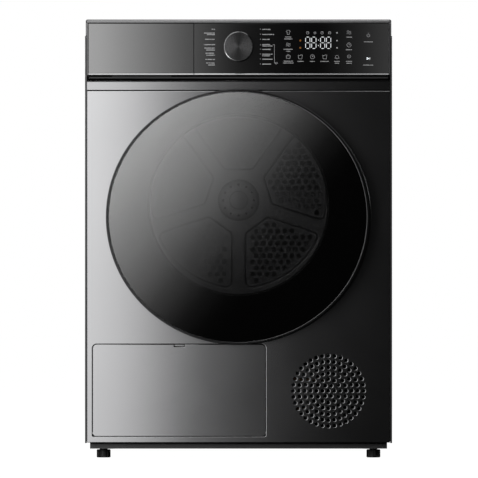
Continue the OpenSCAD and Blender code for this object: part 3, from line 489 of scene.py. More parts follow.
def make_side(s):
    """Folded side sheet: rounded bends, return flanges and two pressed beads."""
    bm = bmesh.new()
    x, y0, y1, t = SIDE_X, side_lo[1], side_hi[1], SHEET
    front_return, rear_step, rear_return, bend = 3.6, 3, 16, 1.1
    section = [(x - front_return, y0)]
    section += arc(x - bend, y0 + bend, bend, -90, 0, 4) + arc(x - bend, y1 - bend, bend, 0, 90, 4)
    section += [(x - rear_step, y1), (x - rear_step, y1 - t), (x - rear_return, y1 - t),
                (x - rear_return, y1 - 2 * t), (x - t, y1 - 2 * t), (x - t, y0 + t),
                (x - front_return, y0 + t)]
    plate(bm, [[(s * u, v) for u, v in section]], side_lo[2], side_hi[2], r0=0.3, r1=0.3, steps=1, axis="Z")
    bead_d, bead_h = 3, 14
    for z in (240, 620):
        low, high = sorted((s * (x - t - bead_d), s * (x - t)))
        block(bm, (low, y0 + 80, z), (high, y1 - 80, z + bead_h), 1.2)
    side = "right" if s > 0 else "left"
    piece("side_sheet_" + side, bm, paint, "cabinet", ["side_panel_" + side])


def vent_centres():
    """The centres of the vent's holes, ring by ring."""
    for k, count in enumerate(VENT_COUNTS):
        for i in range(count):
            a = 2 * math.pi * i / count
            yield VENT[0] + k * VENT_PITCH * math.cos(a), VENT[1] + k * VENT_PITCH * math.sin(a)


def make_front():
    """Front sheet: rolled edges, a collar round the loading hole and drawn holes in the vent; near-black
    strips of painted shadow lie in the seams at its foot and its top edge.
    """
    bm = bmesh.new()
    x, z0, z1 = panel_hi[0], panel_lo[2], panel_hi[2] - 0.6
    flap_x0, flap_z0, flap_x1, flap_z1 = FLAP
    hole_r, rim_r, face_back = 3.3, 3.9, FACE + 1.7
    loops = [round_rect(-x, z0, x, z1, 1.2, 3), circle(0, OPEN_Z, OPEN_R, 160),
             round_rect(flap_x0 - 1, flap_z0 - 1, flap_x1 + 1, flap_z1 + 1, 8.5, 8, low_r=3.0)]
    loops += [circle(u, v, hole_r, 20) for u, v in vent_centres()]
    for z in (DOOR_Z - 33.5, DOOR_Z + 16.5):
        loops.append(round_rect(-237, z, -207, z + 17, 1))
    loops.append(round_rect(214, DOOR_Z - 10, 230, DOOR_Z + 10, 1.5))
    plate(bm, loops, FACE, FACE + 1.6, r0=1.05, steps=4)
    for s in (-1, 1):
        a, b = sorted((s * x, s * (x - SHEET)))
        block(bm, (a, face_back, z0 + 1.6), (b, FACE + 14, z1 - 1), SOFT, 1)
    block(bm, (-x + 1.4, face_back, z0), (x - 1.4, FACE + 7, z0 + SHEET), SOFT, 1)
    block(bm, (-x + 1.4, FACE + 3.8, z1 - SHEET), (x - 1.4, FACE + 7, z1), SOFT, 1)
    collar_y = FACE + 23.4
    lathe(bm, [(OPEN_R + 1.6, face_back), (OPEN_R + 1.6, collar_y), (OPEN_R + 0.8, collar_y + 0.6),
               (OPEN_R, collar_y), (OPEN_R, face_back)], 0, OPEN_Z, 160, closed=True)
    rim_y0, rim_y1 = FACE + 1.65, FACE + 4.4
    for u, v in vent_centres():
        lathe(bm, [(rim_r, rim_y0), (rim_r, rim_y1), (hole_r, rim_y1), (hole_r, rim_y0)], u, v, 14,
              closed=True)
    piece("front_sheet", bm, inox, "cabinet", ["front_panel"])
    # Near-black strips in the seams under the sheet's foot and behind its top edge: painted shadow.
    bm = bmesh.new()
    block(bm, (base_lo[0] + 0.5, base_lo[1] - 0.25, z0 - 2.3), (base_hi[0] - 0.5, base_lo[1] + 0.5, z0 - 0.1),
          0.2, 1)
    block(bm, (-x + 1.6, FACE + 2.0, z1 - 0.9), (x - 1.6, FACE + 3.6, strip_lo[2] + 1.0), 0.2, 1)
    piece("front_sheet_painted_shadow_strips", bm, black_plastic_and_painted_shade, "cabinet")


def make_upper_strip():
    """Strip above the panel: its top edge rolls back in a wide arc under the console."""
    bm = bmesh.new()
    x, z0, z1, y1 = strip_hi[0], strip_lo[2] - 0.5, strip_hi[2], strip_hi[1]
    roll, sweep, steps = 15.0, 35.0, 12
    centre_z = z1 - roll * math.sin(math.radians(sweep))
    face, back = [], []
    for i in range(steps + 1):
        a = math.radians(sweep * i / steps)
        lean = roll * (1 - math.cos(a))
        face.append((FACE + lean, centre_z + roll * math.sin(a)))
        back.append((FACE + SHEET + lean, centre_z + (roll - SHEET) * math.sin(a)))
    low_edge = [(FACE + 0.5, z0), (FACE + 0.15, z0 + 0.15), (FACE, z0 + 0.5)]
    plate(bm, [low_edge + face + back[::-1] + [(FACE + SHEET, z0)]], -x, x, r0=0.0, axis="X")
    for z in (z0 + 1.2, z1 - 3.6):
        block(bm, (-x + 0.2, FACE + 4.5, z + 0.05), (x - 0.2, y1, z + 1.55), SOFT, 1)
    # The strip's inox is darker than the panel's: painted shade.
    piece("upper_strip_sheet", bm, strip_inox_painted_shade, "cabinet", ["upper_front_strip"], sharp=12)


def make_console():
    bm = bmesh.new()
    x0, x1, z0, z1 = fascia_lo[0] + SEAM, fascia_hi[0], fascia_lo[2], fascia_hi[2]
    shaft_hole = circle(0, KNOB_Z, 4.6, 24)
    plate(bm, [round_rect(x0, z0, x1, z1, 0.6, 2), shaft_hole], fascia_lo[1], fascia_hi[1])
    piece("fascia_gloss", bm, gloss, "cabinet", ["control_fascia"])
    bm = bmesh.new()
    trim_bar(bm, chrome_lo[0] + SEAM, chrome_hi[0], chrome_lo, chrome_hi)
    piece("chrome_line", bm, chrome, "cabinet", ["chrome_strip"])
    bm = bmesh.new()
    for s in (-1, 1):
        a, b = sorted((s * (x1 + 0.25), s * (SIDE_X - 3.8)))
        block(bm, (a, FACE + 0.6, chrome_lo[2]), (b, FACE + 8, z1), 0.5)
    piece("console_end_trims", bm, end_trim, "cabinet")
    make_recess()


def make_recess():
    """The channel under the console: slots beside the finger scoop and a lower groove, filled with near-black
    blocks of painted shade, and a step.
    """
    x = fascia_hi[0] - 0.4
    z0, z1, back = strip_hi[2], chrome_lo[2], FACE + 13.9
    step_z0, step_z1 = z0 + 3.6, z1 - 3.0
    bm = bmesh.new()
    # Near-black blocks at the back of the slots and of the lower groove: painted shade.
    for a, b in ((-x, GRIP[0]), (GRIP[1], drawer_hi[0] - 0.2), (drawer_hi[0] + 0.6, x)):
        block(bm, (a, FACE + 9, step_z1 + 0.2), (b, back, z1 - 0.1), SOFT, 1)
    block(bm, (-x, FACE + 9, z0 + 0.1), (x, back, step_z0 - 0.2), SOFT, 1)
    piece("recess_painted_shade_blocks", bm, black_plastic_and_painted_shade, "cabinet")
    bm = bmesh.new()
    block(bm, (GRIP[0] + 0.3, FACE + 3.4, step_z1 + 0.5), (GRIP[1] - 0.3, back, z1 - 0.1), 1.2, 3)
    block(bm, (-x, FACE + 6, step_z0), (x, back, step_z1), 0.8, 3)
    piece("recess_step", bm, grey_plastic, "cabinet")


# -------- prints and display

INK_Y0, INK_Y1 = FACE - 0.10, FACE + 0.05

# Labels beside the knob: (level, width)
LABEL_X, DASH_X = 46, 42.4
LEFT_LABELS = ((831.4, 6), (824, 21), (821, 15), (811.9, 19), (801.6, 21), (795, 20), (791.2, 17),
               (785, 18), (781.2, 16), (773, 18), (766, 17), (762.2, 13))
RIGHT_LABELS = ((831.2, 17), (821.4, 22), (811.9, 14), (801.8, 15), (799, 20), (792.4, 17), (783.1, 20),
                (780, 15), (773.4, 20), (763.9, 17))
DASH_LEVELS = (831.2, 821.4, 811.9, 800.8, 792.4, 783.1, 773.4, 763.9)

# Touch fields in columns and rows: pictogram, place, and (level, width) of the labels below it
TOUCH_FIELDS = (
    ("shirt", 96.3, 825, ((816.5, 12), (812.6, 15))),
    ("wave", 96.3, 801, ((792.6, 18), (788.8, 8))),
    ("basket", 96.3, 777.6, ((769.6, 17), (766, 19))),
    ("tub", 119.7, 777.6, ((769.2, 11),)),
    ("clock", 143.2, 777.6, ((769.2, 10),)),
    ("tub", 167, 777.6, ((769.2, 16),)),
    ("bell", 190.8, 777.6, ((769.2, 11), (765.6, 8))),
    ("leaf", 214.1, 777, ((769.2, 12), (765.6, 10))),
    ("wave", 214.1, 824.6, ((816.2, 11),)),
    ("clock", 214.1, 800.6, ((791.8, 12),)),
)
STATUS_SYMBOLS = (("clock", 134), ("sun", 148), ("clock", 162), ("basket", 176.5))
POWER_X, AMBER_X, DOT_X = 251.5, 119.7, 190.8


def words(bm, x, z, width, align="left", height=2.1):
    """A short row of plain ticks that stands for a printed label."""
    at = {"left": x, "right": x - width, "centre": x - width / 2}[align]
    end = at + width - 0.4
    while at < end:
        w = rng.uniform(0.8, 1.25)
        h = height * rng.uniform(0.78, 1.0)
        stroke(bm, (at + w / 2, z - h / 2), (at + w / 2, z + h / 2 - w), w * 0.86, INK_Y0, INK_Y1)
        at += w + (1.0 if rng.random() < 0.08 else 0.16)


def path(bm, pts, w=0.55):
    """A printed line through the points."""
    for p, q in zip(pts, pts[1:]):
        stroke(bm, p, q, w, INK_Y0, INK_Y1)


def ring(bm, u, v, r, w, a0=0, a1=360, n=24):
    """A printed ring, or the part of one from a0 to a1 degrees."""
    path(bm, arc(u, v, r, a0, a1, n), w)


def dot(bm, u, v, r, n):
    """A printed dot."""
    lathe(bm, [(0, INK_Y0), (r, INK_Y0), (r, INK_Y1), (0, INK_Y1)], u, v, n)


# Plain pictograms in units of their half size: (width in mm, points) of each line,
# and (height of the centre, radius, width in mm, first degree, last degree, steps) of each ring
SYMBOL_LINES = {
    "tub": ((0.55, ((-1, 0.8), (-0.75, -1), (0.75, -1), (1, 0.8))),
            (0.55, ((-1, 0.8), (-0.4, 0.5), (0.2, 0.9), (1, 0.8)))),
    "shirt": ((0.55, ((-0.5, 1), (-1, 0.4), (-0.5, 0), (-0.5, -1), (0.5, -1), (0.5, 0), (1, 0.4),
                      (0.5, 1), (-0.5, 1))),),
    "clock": ((0.55, ((0, 0.6), (0, 0), (0.45, 0))),),
    "sun": [(0.45, ((0.75 * c, 0.75 * s), (c, s))) for c, s in circle(0, 0, 1, 8)],
    "leaf": ((0.4, ((-0.6, 0.2), (0.6, 0.2))),),
    "bell": ((0.55, ((-0.7, 0), (-1, -0.7), (1, -0.7), (0.7, 0))), (0.5, ((-0.2, -1), (0.2, -1)))),
    "wave": [(0.5, ((-1, k), (-0.4, k + 0.3), (0.3, k - 0.2), (1, k + 0.1))) for k in (-0.6, 0.0, 0.6)],
    "basket": ((0.55, ((-1, 0.5), (-0.8, -0.8), (0.8, -0.8), (1, 0.5), (-1, 0.5))),),
}
SYMBOL_RINGS = {
    "clock": ((0, 1, 0.55, 0, 360, 24),),
    "sun": ((0, 0.5, 0.5, 0, 360, 14),),
    "leaf": ((0, 1, 0.5, 20, 160, 10), (0.6, 1, 0.5, 200, 340, 10)),
    "bell": ((0, 0.7, 0.5, 0, 180, 10),),
    "basket": ((0.5, 0.55, 0.5, 0, 180, 8),),
}


def symbol(bm, kind, u, v, s=4.0):
    """A plain pictogram of half size s."""
    for height, r, w, a0, a1, n in SYMBOL_RINGS.get(kind, ()):
        ring(bm, u, v + s * height, s * r, w, a0, a1, n)
    for w, points in SYMBOL_LINES[kind]:
        path(bm, [(u + s * a, v + s * b) for a, b in points], w)


def digit_eight(bm, u0, v0, w, h):
    """All seven segments of a digit, as bars with gaps between them."""
    t, g = 1.05, 1.3
    mid = v0 + h / 2
    for v in (v0, mid, v0 + h):
        stroke(bm, (u0 + g + t, v), (u0 + w - g - t, v), t, INK_Y0, INK_Y1)
    for u in (u0, u0 + w):
        for a, b in ((v0, mid), (mid, v0 + h)):
            stroke(bm, (u, a + g + t * 0.7), (u, b - g - t * 0.7), t, INK_Y0, INK_Y1)


def make_prints():
    """Labels, brackets and pictograms of the fascia."""
    bm = bmesh.new()
    for z, w in LEFT_LABELS:
        words(bm, -LABEL_X, z, w, "right")
    for z, w in RIGHT_LABELS:
        words(bm, LABEL_X, z, w)
    for z in DASH_LEVELS:
        stroke(bm, (DASH_X, z - 0.4), (DASH_X, z + 0.4), 0.8, INK_Y0, INK_Y1)
    path(bm, [(66.5, 801), (69.5, 801), (69.5, 766), (70.5, 766)], 0.5)
    symbol(bm, "leaf", 73, 764.5, 2.6)
    for kind, u, v, labels in TOUCH_FIELDS:
        symbol(bm, kind, u, v)
        for z, w in labels:
            words(bm, u, z, w, "centre", 1.8)
    for kind, u in STATUS_SYMBOLS:
        symbol(bm, kind, u, 824, 2.5)
    for v in (824, 809, 795):
        dot(bm, DOT_X, v, 1.5, 16)
    ring(bm, POWER_X, 819, 2.9, 0.55, 130, 410, 16)
    path(bm, [(POWER_X, 823.4), (POWER_X, 819.6)])
    words(bm, POWER_X, 807, 17, "centre", 1.7)
    words(bm, POWER_X, 762, 20, "centre", 1.7)
    # The ink's faint glow is painted light.
    piece("fascia_prints", bm, print_with_painted_glow, "cabinet")


def make_display():
    """Lit digits with their colon, the start mark and two amber lamps."""
    bm = bmesh.new()
    for u0 in (130.0, 141.8, 158.8, 170.4):
        digit_eight(bm, u0, 793.6, 8.4, 22.2)
    for v in (799.5, 810):
        dot(bm, 154.8, v, 0.8, 12)
    path(bm, [(249.0, 772.4), (249.0, 776.0), (251.6, 774.2), (249.0, 772.4)], 0.9)
    for u in (253.0, 254.6):
        path(bm, [(u, 772.6), (u, 775.8)], 0.7)
    piece("lit_display", bm, lit_digits, "cabinet")
    bm = bmesh.new()
    for v in (809, 795):
        dot(bm, AMBER_X, v, 1.9, 16)
    piece("amber_lamps", bm, amber, "cabinet")


# -------- knob and drawer

def make_knob():
    """Programme knob: a spun face with shallow rings, a rounded rim, a ribbed side and a shaft."""
    r, y0 = KNOB_R, knob_lo[1]
    face_y, side_y, base_y = y0 + 1.2, y0 + 1.8, y0 + 20
    bm = bmesh.new()
    lathe(bm, [(0, face_y + 0.05), (r - 2.2, face_y)], 0, KNOB_Z, 180)
    for k in range(9):
        line_r = 5 + 2.4 * k
        lathe(bm, [(line_r, face_y), (line_r + 0.3, face_y - 0.025), (line_r + 0.6, face_y)], 0, KNOB_Z, 120)
    piece("knob_face", bm, knob_face, "knob", ["knob"], sharp=60)
    bm = bmesh.new()
    lathe(bm, [(r - 2.1, y0 + 1.5), (r - 2.1, y0 + 0.2), (r - 1.9, y0), (r - 1.5, y0 + 0.05),
               (r - 0.5, y0 + 0.55), (r - 0.1, y0 + 1.0), (r, side_y)], 0, KNOB_Z, 180)
    ribs, rib_d = 60, 0.35
    loops = []
    for depth, low in ((side_y, 0.0), (y0 + 3.2, rib_d), (base_y - 1.6, rib_d), (base_y - 0.6, 0.0)):
        loop = []
        for i in range(2 * ribs):
            a = math.pi * i / ribs
            side_r = r - low if i % 2 else r
            loop.append((side_r * math.cos(a), depth, KNOB_Z + side_r * math.sin(a)))
        loops.append(loop)
    loft(bm, loops, closed=False)
    shaft_r, shaft_y = 3, knob_hi[1]
    lathe(bm, [(r, base_y - 0.6), (r - 0.8, base_y + 0.2), (shaft_r, base_y + 0.2), (shaft_r, shaft_y - 0.6),
               (shaft_r - 0.6, shaft_y), (0, shaft_y)], 0, KNOB_Z, 120)
    piece("knob_rim", bm, chrome_knob, "knob")


def make_drawer():
    """The tank drawer's gloss front with its own length of the chrome line."""
    bm = bmesh.new()
    x0, x1, z1 = drawer_lo[0], drawer_hi[0] - SEAM, drawer_hi[2]
    z0, face_t = chrome_hi[2] + 0.1, 3
    plate(bm, [round_rect(x0, z0, x1, z1, 0.5, 3)], FACE, FACE + face_t, r0=0.4)
    block(bm, (x0 + 4, FACE + face_t + 0.05, z0 + 2), (x1 - 2, drawer_hi[1], z1 - 3), 1.0)
    piece("drawer_face", bm, gloss, "tank_drawer", ["tank_drawer_front"])
    bm = bmesh.new()
    trim_bar(bm, x0, x1, chrome_lo, chrome_hi)
    piece("drawer_chrome_line", bm, chrome, "tank_drawer")


# -------- door

def between(outer, inner, share):
    """The loop that lies a share of the way from the outer to the inner loop."""
    return [(o[0] + (i[0] - o[0]) * share, o[1] + (i[1] - o[1]) * share) for o, i in zip(outer, inner)]


def make_door():
    """Tinted pane in a metal ring that is wider at the grip, with a fine line near its inner edge."""
    y0, y1 = ring_lo[1], ring_hi[1]
    outer = oval(0, DOOR_Z, RING_A, RING_B)
    inner = oval(GLASS_X, DOOR_Z, GLASS_A, GLASS_B)
    bm = bmesh.new()
    section = ((0.0, y1), (0.0, y0 + 2.2), (0.06, y0 + 1.0), (0.2, y0 + 0.3), (0.36, y0), (0.62, y0 + 0.1),
               (0.66, y0 + 0.7), (0.78, y0 + 0.75), (0.84, y0 + 0.5), (0.97, y0 + 1.1), (1.0, y0 + 2.0),
               (1.0, y1))
    loft(bm, [[(u, depth, v) for u, v in between(outer, inner, share)] for share, depth in section])
    piece("door_ring", bm, ring_metal, "door", ["door_trim_ring"], sharp=40)
    bm = bmesh.new()
    bead(bm, between(outer, inner, 0.93), y0 + 0.75, 0.45)
    piece("door_ring_bright_line", bm, dim_line, "door")
    bm = bmesh.new()
    plate(bm, [inset(inner, 0.25)], glass_lo[1], glass_hi[1] - 0.5, r0=0.8, steps=3)
    piece("door_glass_pane", bm, tint, "door", ["door_glass"])


# -------- drum rear wall

SPOKES = 5
SPOKE_W = 31.0      # width of a rib between two pockets
STAR_HUB = 64.0     # where the pockets start, from the centre
STAR_R = 176.0      # where they end
STAR_LIFT = 6.0     # height of the ribs over the drilled floor
HOLE_PITCH = 14.4
HOLE_R = 4.6
HOLE_ROWS = 14      # rows and columns of holes to each side of the centre


def star_pocket(k):
    """Outline of a pocket about the drum's axis: a wedge with rounded corners and an arc outside."""
    turn, half = math.radians(90 + 360 / SPOKES * k), math.radians(180 / SPOKES)
    mid = Vector((math.cos(turn), math.sin(turn)))
    side = Vector((-mid.y, mid.x))
    rib = SPOKE_W / 2 / math.cos(half)

    def flank(d, s):
        return mid * d + side * (s * (d * math.tan(half) - rib))

    shoulder = flank(STAR_R * 0.78, 1)
    reach = math.degrees(math.atan2(shoulder.dot(side), shoulder.dot(mid)))
    pts = [flank(STAR_HUB, -1), flank(STAR_R * 0.76, -1)]
    for i in range(9):
        t = math.radians(-reach + 2 * reach * i / 8)
        pts.append((mid * math.cos(t) + side * math.sin(t)) * STAR_R)
    pts += [flank(STAR_R * 0.76, 1), flank(STAR_HUB, 1)]
    loop = rounded([(p.x, p.y) for p in pts], 9)
    return loop if area(loop) > 0 else loop[::-1]


def inside(p, loop):
    """True where the point p lies inside the loop."""
    hit = False
    for a, b in zip(loop, loop[1:] + loop[:1]):
        if (a[1] > p[1]) != (b[1] > p[1]) and p[0] < (b[0] - a[0]) * (p[1] - a[1]) / (b[1] - a[1]) + a[0]:
            hit = not hit
    return hit


def make_drum_back():
    """Pressed rear wall: five pockets with drilled floors between five ribs, and a domed hub."""
    back, r = wall_hi[1], wall_hi[0] - 0.6
    floor_y = back - 3.0
    star_y = floor_y - STAR_LIFT
    pockets = [star_pocket(k) for k in range(SPOKES)]
    bm = bmesh.new()
    shifted = [[(u, v + DRUM_Z) for u, v in loop] for loop in pockets]
    plate(bm, [circle(0, DRUM_Z, r, 180)] + shifted, star_y, floor_y - 0.2, r0=5.4, steps=6)
    hub = ((0, -9), (9, -8.8), (17.5, -7.6), (18.4, -5.6), (20.5, -5.2), (26, -5.6), (36, -5.0),
           (39.5, -2.6), (42, -0.2), (43, 0.6))
    lathe(bm, [(radius, star_y + d) for radius, d in hub], 0, DRUM_Z, 96)
    piece("drum_back_star", bm, drum_steel, "drum", ["drum_rear_wall"])
    bm = bmesh.new()
    drilled = [inset(loop, 7) for loop in pockets]
    holes = []
    for row in range(-HOLE_ROWS, HOLE_ROWS + 1):
        for col in range(-HOLE_ROWS, HOLE_ROWS + 1):
            u = (col + (row % 2) / 2) * HOLE_PITCH
            v = row * HOLE_PITCH * math.sqrt(0.75)
            if any(inside((u, v), loop) for loop in drilled):
                holes.append(circle(u, v + DRUM_Z, HOLE_R, 18))
    plate(bm, [circle(0, DRUM_Z, r - 1, 180)] + holes, floor_y, back - 0.4, steps=1)
    piece("drum_back_floor", bm, drum_steel, "drum")
    bm = bmesh.new()
    stud_ring = 31
    for k in range(12):
        a = math.radians(30 * k)
        lathe(bm, [(0, star_y - 6.2), (2.2, star_y - 6.0), (2.6, star_y - 5.2), (0, star_y - 4.8)],
              stud_ring * math.cos(a), DRUM_Z + stud_ring * math.sin(a), 14)
    piece("drum_hub_studs", bm, black_plastic, "drum")


# -------- flap, feet, rear

def make_flap():
    """Service flap: a plate with a notch and its tongue, stiffeners behind, a hinge roll at its foot."""
    x0, z0, x1, z1 = FLAP
    notch_x, notch_w, notch_d = FLAP_NOTCH
    bm = bmesh.new()
    corners = round_rect(x0, z0, x1, z1, 8, 8, low_r=6.0)
    right = len(corners) // 2
    notch = [(notch_x + notch_w, z1), (notch_x + notch_w, z1 - notch_d), (notch_x - notch_w, z1 - notch_d),
             (notch_x - notch_w, z1)]
    plate(bm, [corners[:right] + notch + corners[right:]], FACE, FACE + 2.2, steps=3)
    tongue_w, back_y, foot_z = notch_w - 1.2, FACE + 2.25, z0 + 9.9
    block(bm, (notch_x - tongue_w, FACE + 0.5, z1 - notch_d + 1.1),
          (notch_x + tongue_w, FACE + 2.0, z1 - 0.1), SOFT, 1)
    for low, high in (((x0 + 0.6, foot_z), (x0 + 12, z1 - 9)), ((x1 - 12, foot_z), (x1 - 0.6, z1 - 9)),
                      ((x0 + 9, z1 - 10), (x1 - 9, z1 - 5.2))):
        block(bm, (low[0], back_y, low[1]), (high[0], FACE + 10, high[1]))
    for x in (-190, -110, -30):
        block(bm, (x - 1, back_y, 56), (x + 1, FACE + 9, z1 - 11), 0.4)
    half_roll = [(0, -3.8), (2.4, -3.8), (3, -3.2), (3, 4), (4.2, 4), (4.7, 4.6)]
    roll = [(r, x0 + d) for r, d in half_roll] + [(r, x1 - d) for r, d in half_roll[::-1]]
    lathe(bm, roll, FACE + 5, z0 + 5, 40, axis="X")
    piece("flap_cover", bm, inox, "flap", ["service_flap"])


def make_foot(name):
    """Levelling foot: a ribbed pad with a chamfered sole, a neck and a threaded stem."""
    low, high = span(name)
    cx, cy = (low[0] + high[0]) / 2, (low[1] + high[1]) / 2
    bm = bmesh.new()
    per_rib, ribs, pad_r, rib_d = 8, 14, 13.45, 0.8
    n = per_rib * ribs
    loops = []
    for depth, shrink, groove in ((0.0, 0.9, 0.0), (0.9, 0.1, 0.0), (1.8, 0.0, rib_d), (13.6, 0.0, rib_d),
                                  (14.6, 0.2, 0.0), (15.4, 1.0, 0.0)):
        loop = []
        for i in range(n):
            r = pad_r - shrink - (groove if i % per_rib > per_rib // 2 else 0)
            t = 2 * math.pi * i / n
            loop.append((cx + r * math.cos(t), cy + r * math.sin(t), depth))
        loops.append(loop)
    loft(bm, loops, closed=False)
    lathe(bm, [(0, 0.0), (pad_r - 0.9, 0.0)], cx, cy, n, axis="Z")
    crest, root, thread_pitch = 4.0, 3.4, 1.5
    stem = [(pad_r - 1.0, 15.4), (7.8, 15.6), (7.8, 17.4), (crest, 17.7)]
    for k in range(18):
        stem += [(crest, 18 + thread_pitch * k), (root, 18.75 + thread_pitch * k)]
    stem += [(root, 45.2), (2.6, 46), (0, 46)]
    lathe(bm, stem, cx, cy, 32, axis="Z")
    piece(name + "_ribbed", bm, foot_plastic, name, [name])


def duct_outline(grow):
    """The disc behind the drum and the duct from it down to the fan, grown all round."""
    disc_r, duct_x0, duct_x1, duct_z = 191.0, 2.0, 138.0, 42.0
    r = disc_r + grow
    start = -math.acos((duct_x1 + grow) / r)
    stop = 2 * math.pi - math.acos((duct_x0 - grow) / r)
    steps = 150
    turn = [start + (stop - start) * i / steps for i in range(steps + 1)]
    disc = [(r * math.cos(t), DRUM_Z + r * math.sin(t)) for t in turn]
    return disc + [(duct_x0 - grow, duct_z - grow), (duct_x1 + grow, duct_z - grow)]


def make_rear():
    """Pressed duct cover with a soft shoulder and a flange, and the pan-head screws."""
    y0, y1 = duct_lo[1], duct_hi[1]
    bm = bmesh.new()
    plate(bm, [duct_outline(0)], y0 + 1.7, y1, r0=0.0, r1=5.5, steps=5)
    plate(bm, [duct_outline(14)], y0 + 0.1, y0 + 1.6, r0=0.0, r1=0.6)
    for k in range(3):
        bead(bm, circle(0, DRUM_Z, 60 + 42 * k, 120), y1 - 2.6, 2.4)
    piece("duct_cover_pressed", bm, zinc, "cabinet", ["rear_duct_cover"])
    bm = bmesh.new()
    back = side_hi[1]
    head = [(2, back - 3.4), (2, back), (4.2, back + 0.05), (4.2, back + 0.9), (3.6, back + 1.9),
            (2.2, back + 2.5), (0, back + 2.6)]
    for u in (12 - SIDE_X, SIDE_X - 12):
        for z in (60, 250, 450, 650, 800):
            lathe(bm, head, u, z, 24)
    piece("pan_head_screws", bm, bright_steel, "cabinet", ["cabinet_screws"])


make_worktop()
make_side(-1)
make_side(1)
make_front()
make_upper_strip()
make_console()
make_prints()
make_display()
make_knob()
make_drawer()
make_door()
make_drum_back()
make_flap()
for corner in ("foot_front_left", "foot_front_right", "foot_rear_left", "foot_rear_right"):
    make_foot(corner)
make_rear()


# -------- studio

def softbox(name, at, look_at, size, shades, across=(1, 0, 0), fade=None, only=(), spare=()):
    """A soft light, even or graded across its face.

    shades: one radiance, or (place, radiance) pairs; a place is a point's dot product with across.
    fade: ((low z, share), (high z, share)) for a second gradient up the face.
    only: the pieces that it lights; without any, it lights everything but the spared pieces.
    """
    stops = shades if isinstance(shades, tuple) else ((0.0, shades),)
    top = max(value for _, value in stops)
    data = bpy.data.lights.new(name, "AREA")
    data.shape = "RECTANGLE"
    data.size, data.size_y = size
    data.energy = math.pi * size[0] * size[1] * top
    data.use_nodes = True
    if len(stops) > 1:
        tree = data.node_tree
        link = tree.links.new
        start, end = stops[0][0], stops[-1][0]
        where = add_node(tree, "NewGeometry")
        along = add_node(tree, "VectorMath")
        along.operation = "DOT_PRODUCT"
        along.inputs[1].default_value = across
        link(where.outputs["Position"], along.inputs[0])
        share = add_node(tree, "MapRange", From_Min=start, From_Max=end)
        link(along.outputs["Value"], share.inputs["Value"])
        ramp = add_node(tree, "ValToRGB")
        elements = ramp.color_ramp.elements
        ends = {start: 0, end: -1}
        for place, value in stops:
            stop = elements[ends[place]] if place in ends else elements.new((place - start) / (end - start))
            stop.color = (*[value / top] * 3, 1)
        link(share.outputs["Result"], ramp.inputs["Fac"])
        level = ramp.outputs["Color"]
        if fade:
            (z0, share0), (z1, share1) = fade
            height = add_node(tree, "SeparateXYZ")
            link(where.outputs["Position"], height.inputs[0])
            dim = add_node(tree, "MapRange", From_Min=z0, From_Max=z1, To_Min=share0, To_Max=share1)
            link(height.outputs["Z"], dim.inputs["Value"])
            both = add_node(tree, "Math")
            both.operation = "MULTIPLY"
            link(level, both.inputs[0])
            link(dim.outputs["Result"], both.inputs[1])
            level = both.outputs[0]
        link(level, tree.nodes["Emission"].inputs["Strength"])
    obj = bpy.data.objects.new(name, data)
    obj.location = at
    obj.rotation_euler = (Vector(look_at) - Vector(at)).to_track_quat("-Z", "Y").to_euler()
    obj.visible_camera = False
    scene.collection.objects.link(obj)
    if only or spare:
        linked = bpy.data.collections.new(name + "_receivers")
        for piece_name in only or spare:
            linked.objects.link(bpy.data.objects[piece_name])
        for entry in linked.collection_objects:
            entry.light_linking.link_state = "INCLUDE" if only else "EXCLUDE"
        obj.light_linking.receiver_collection = linked


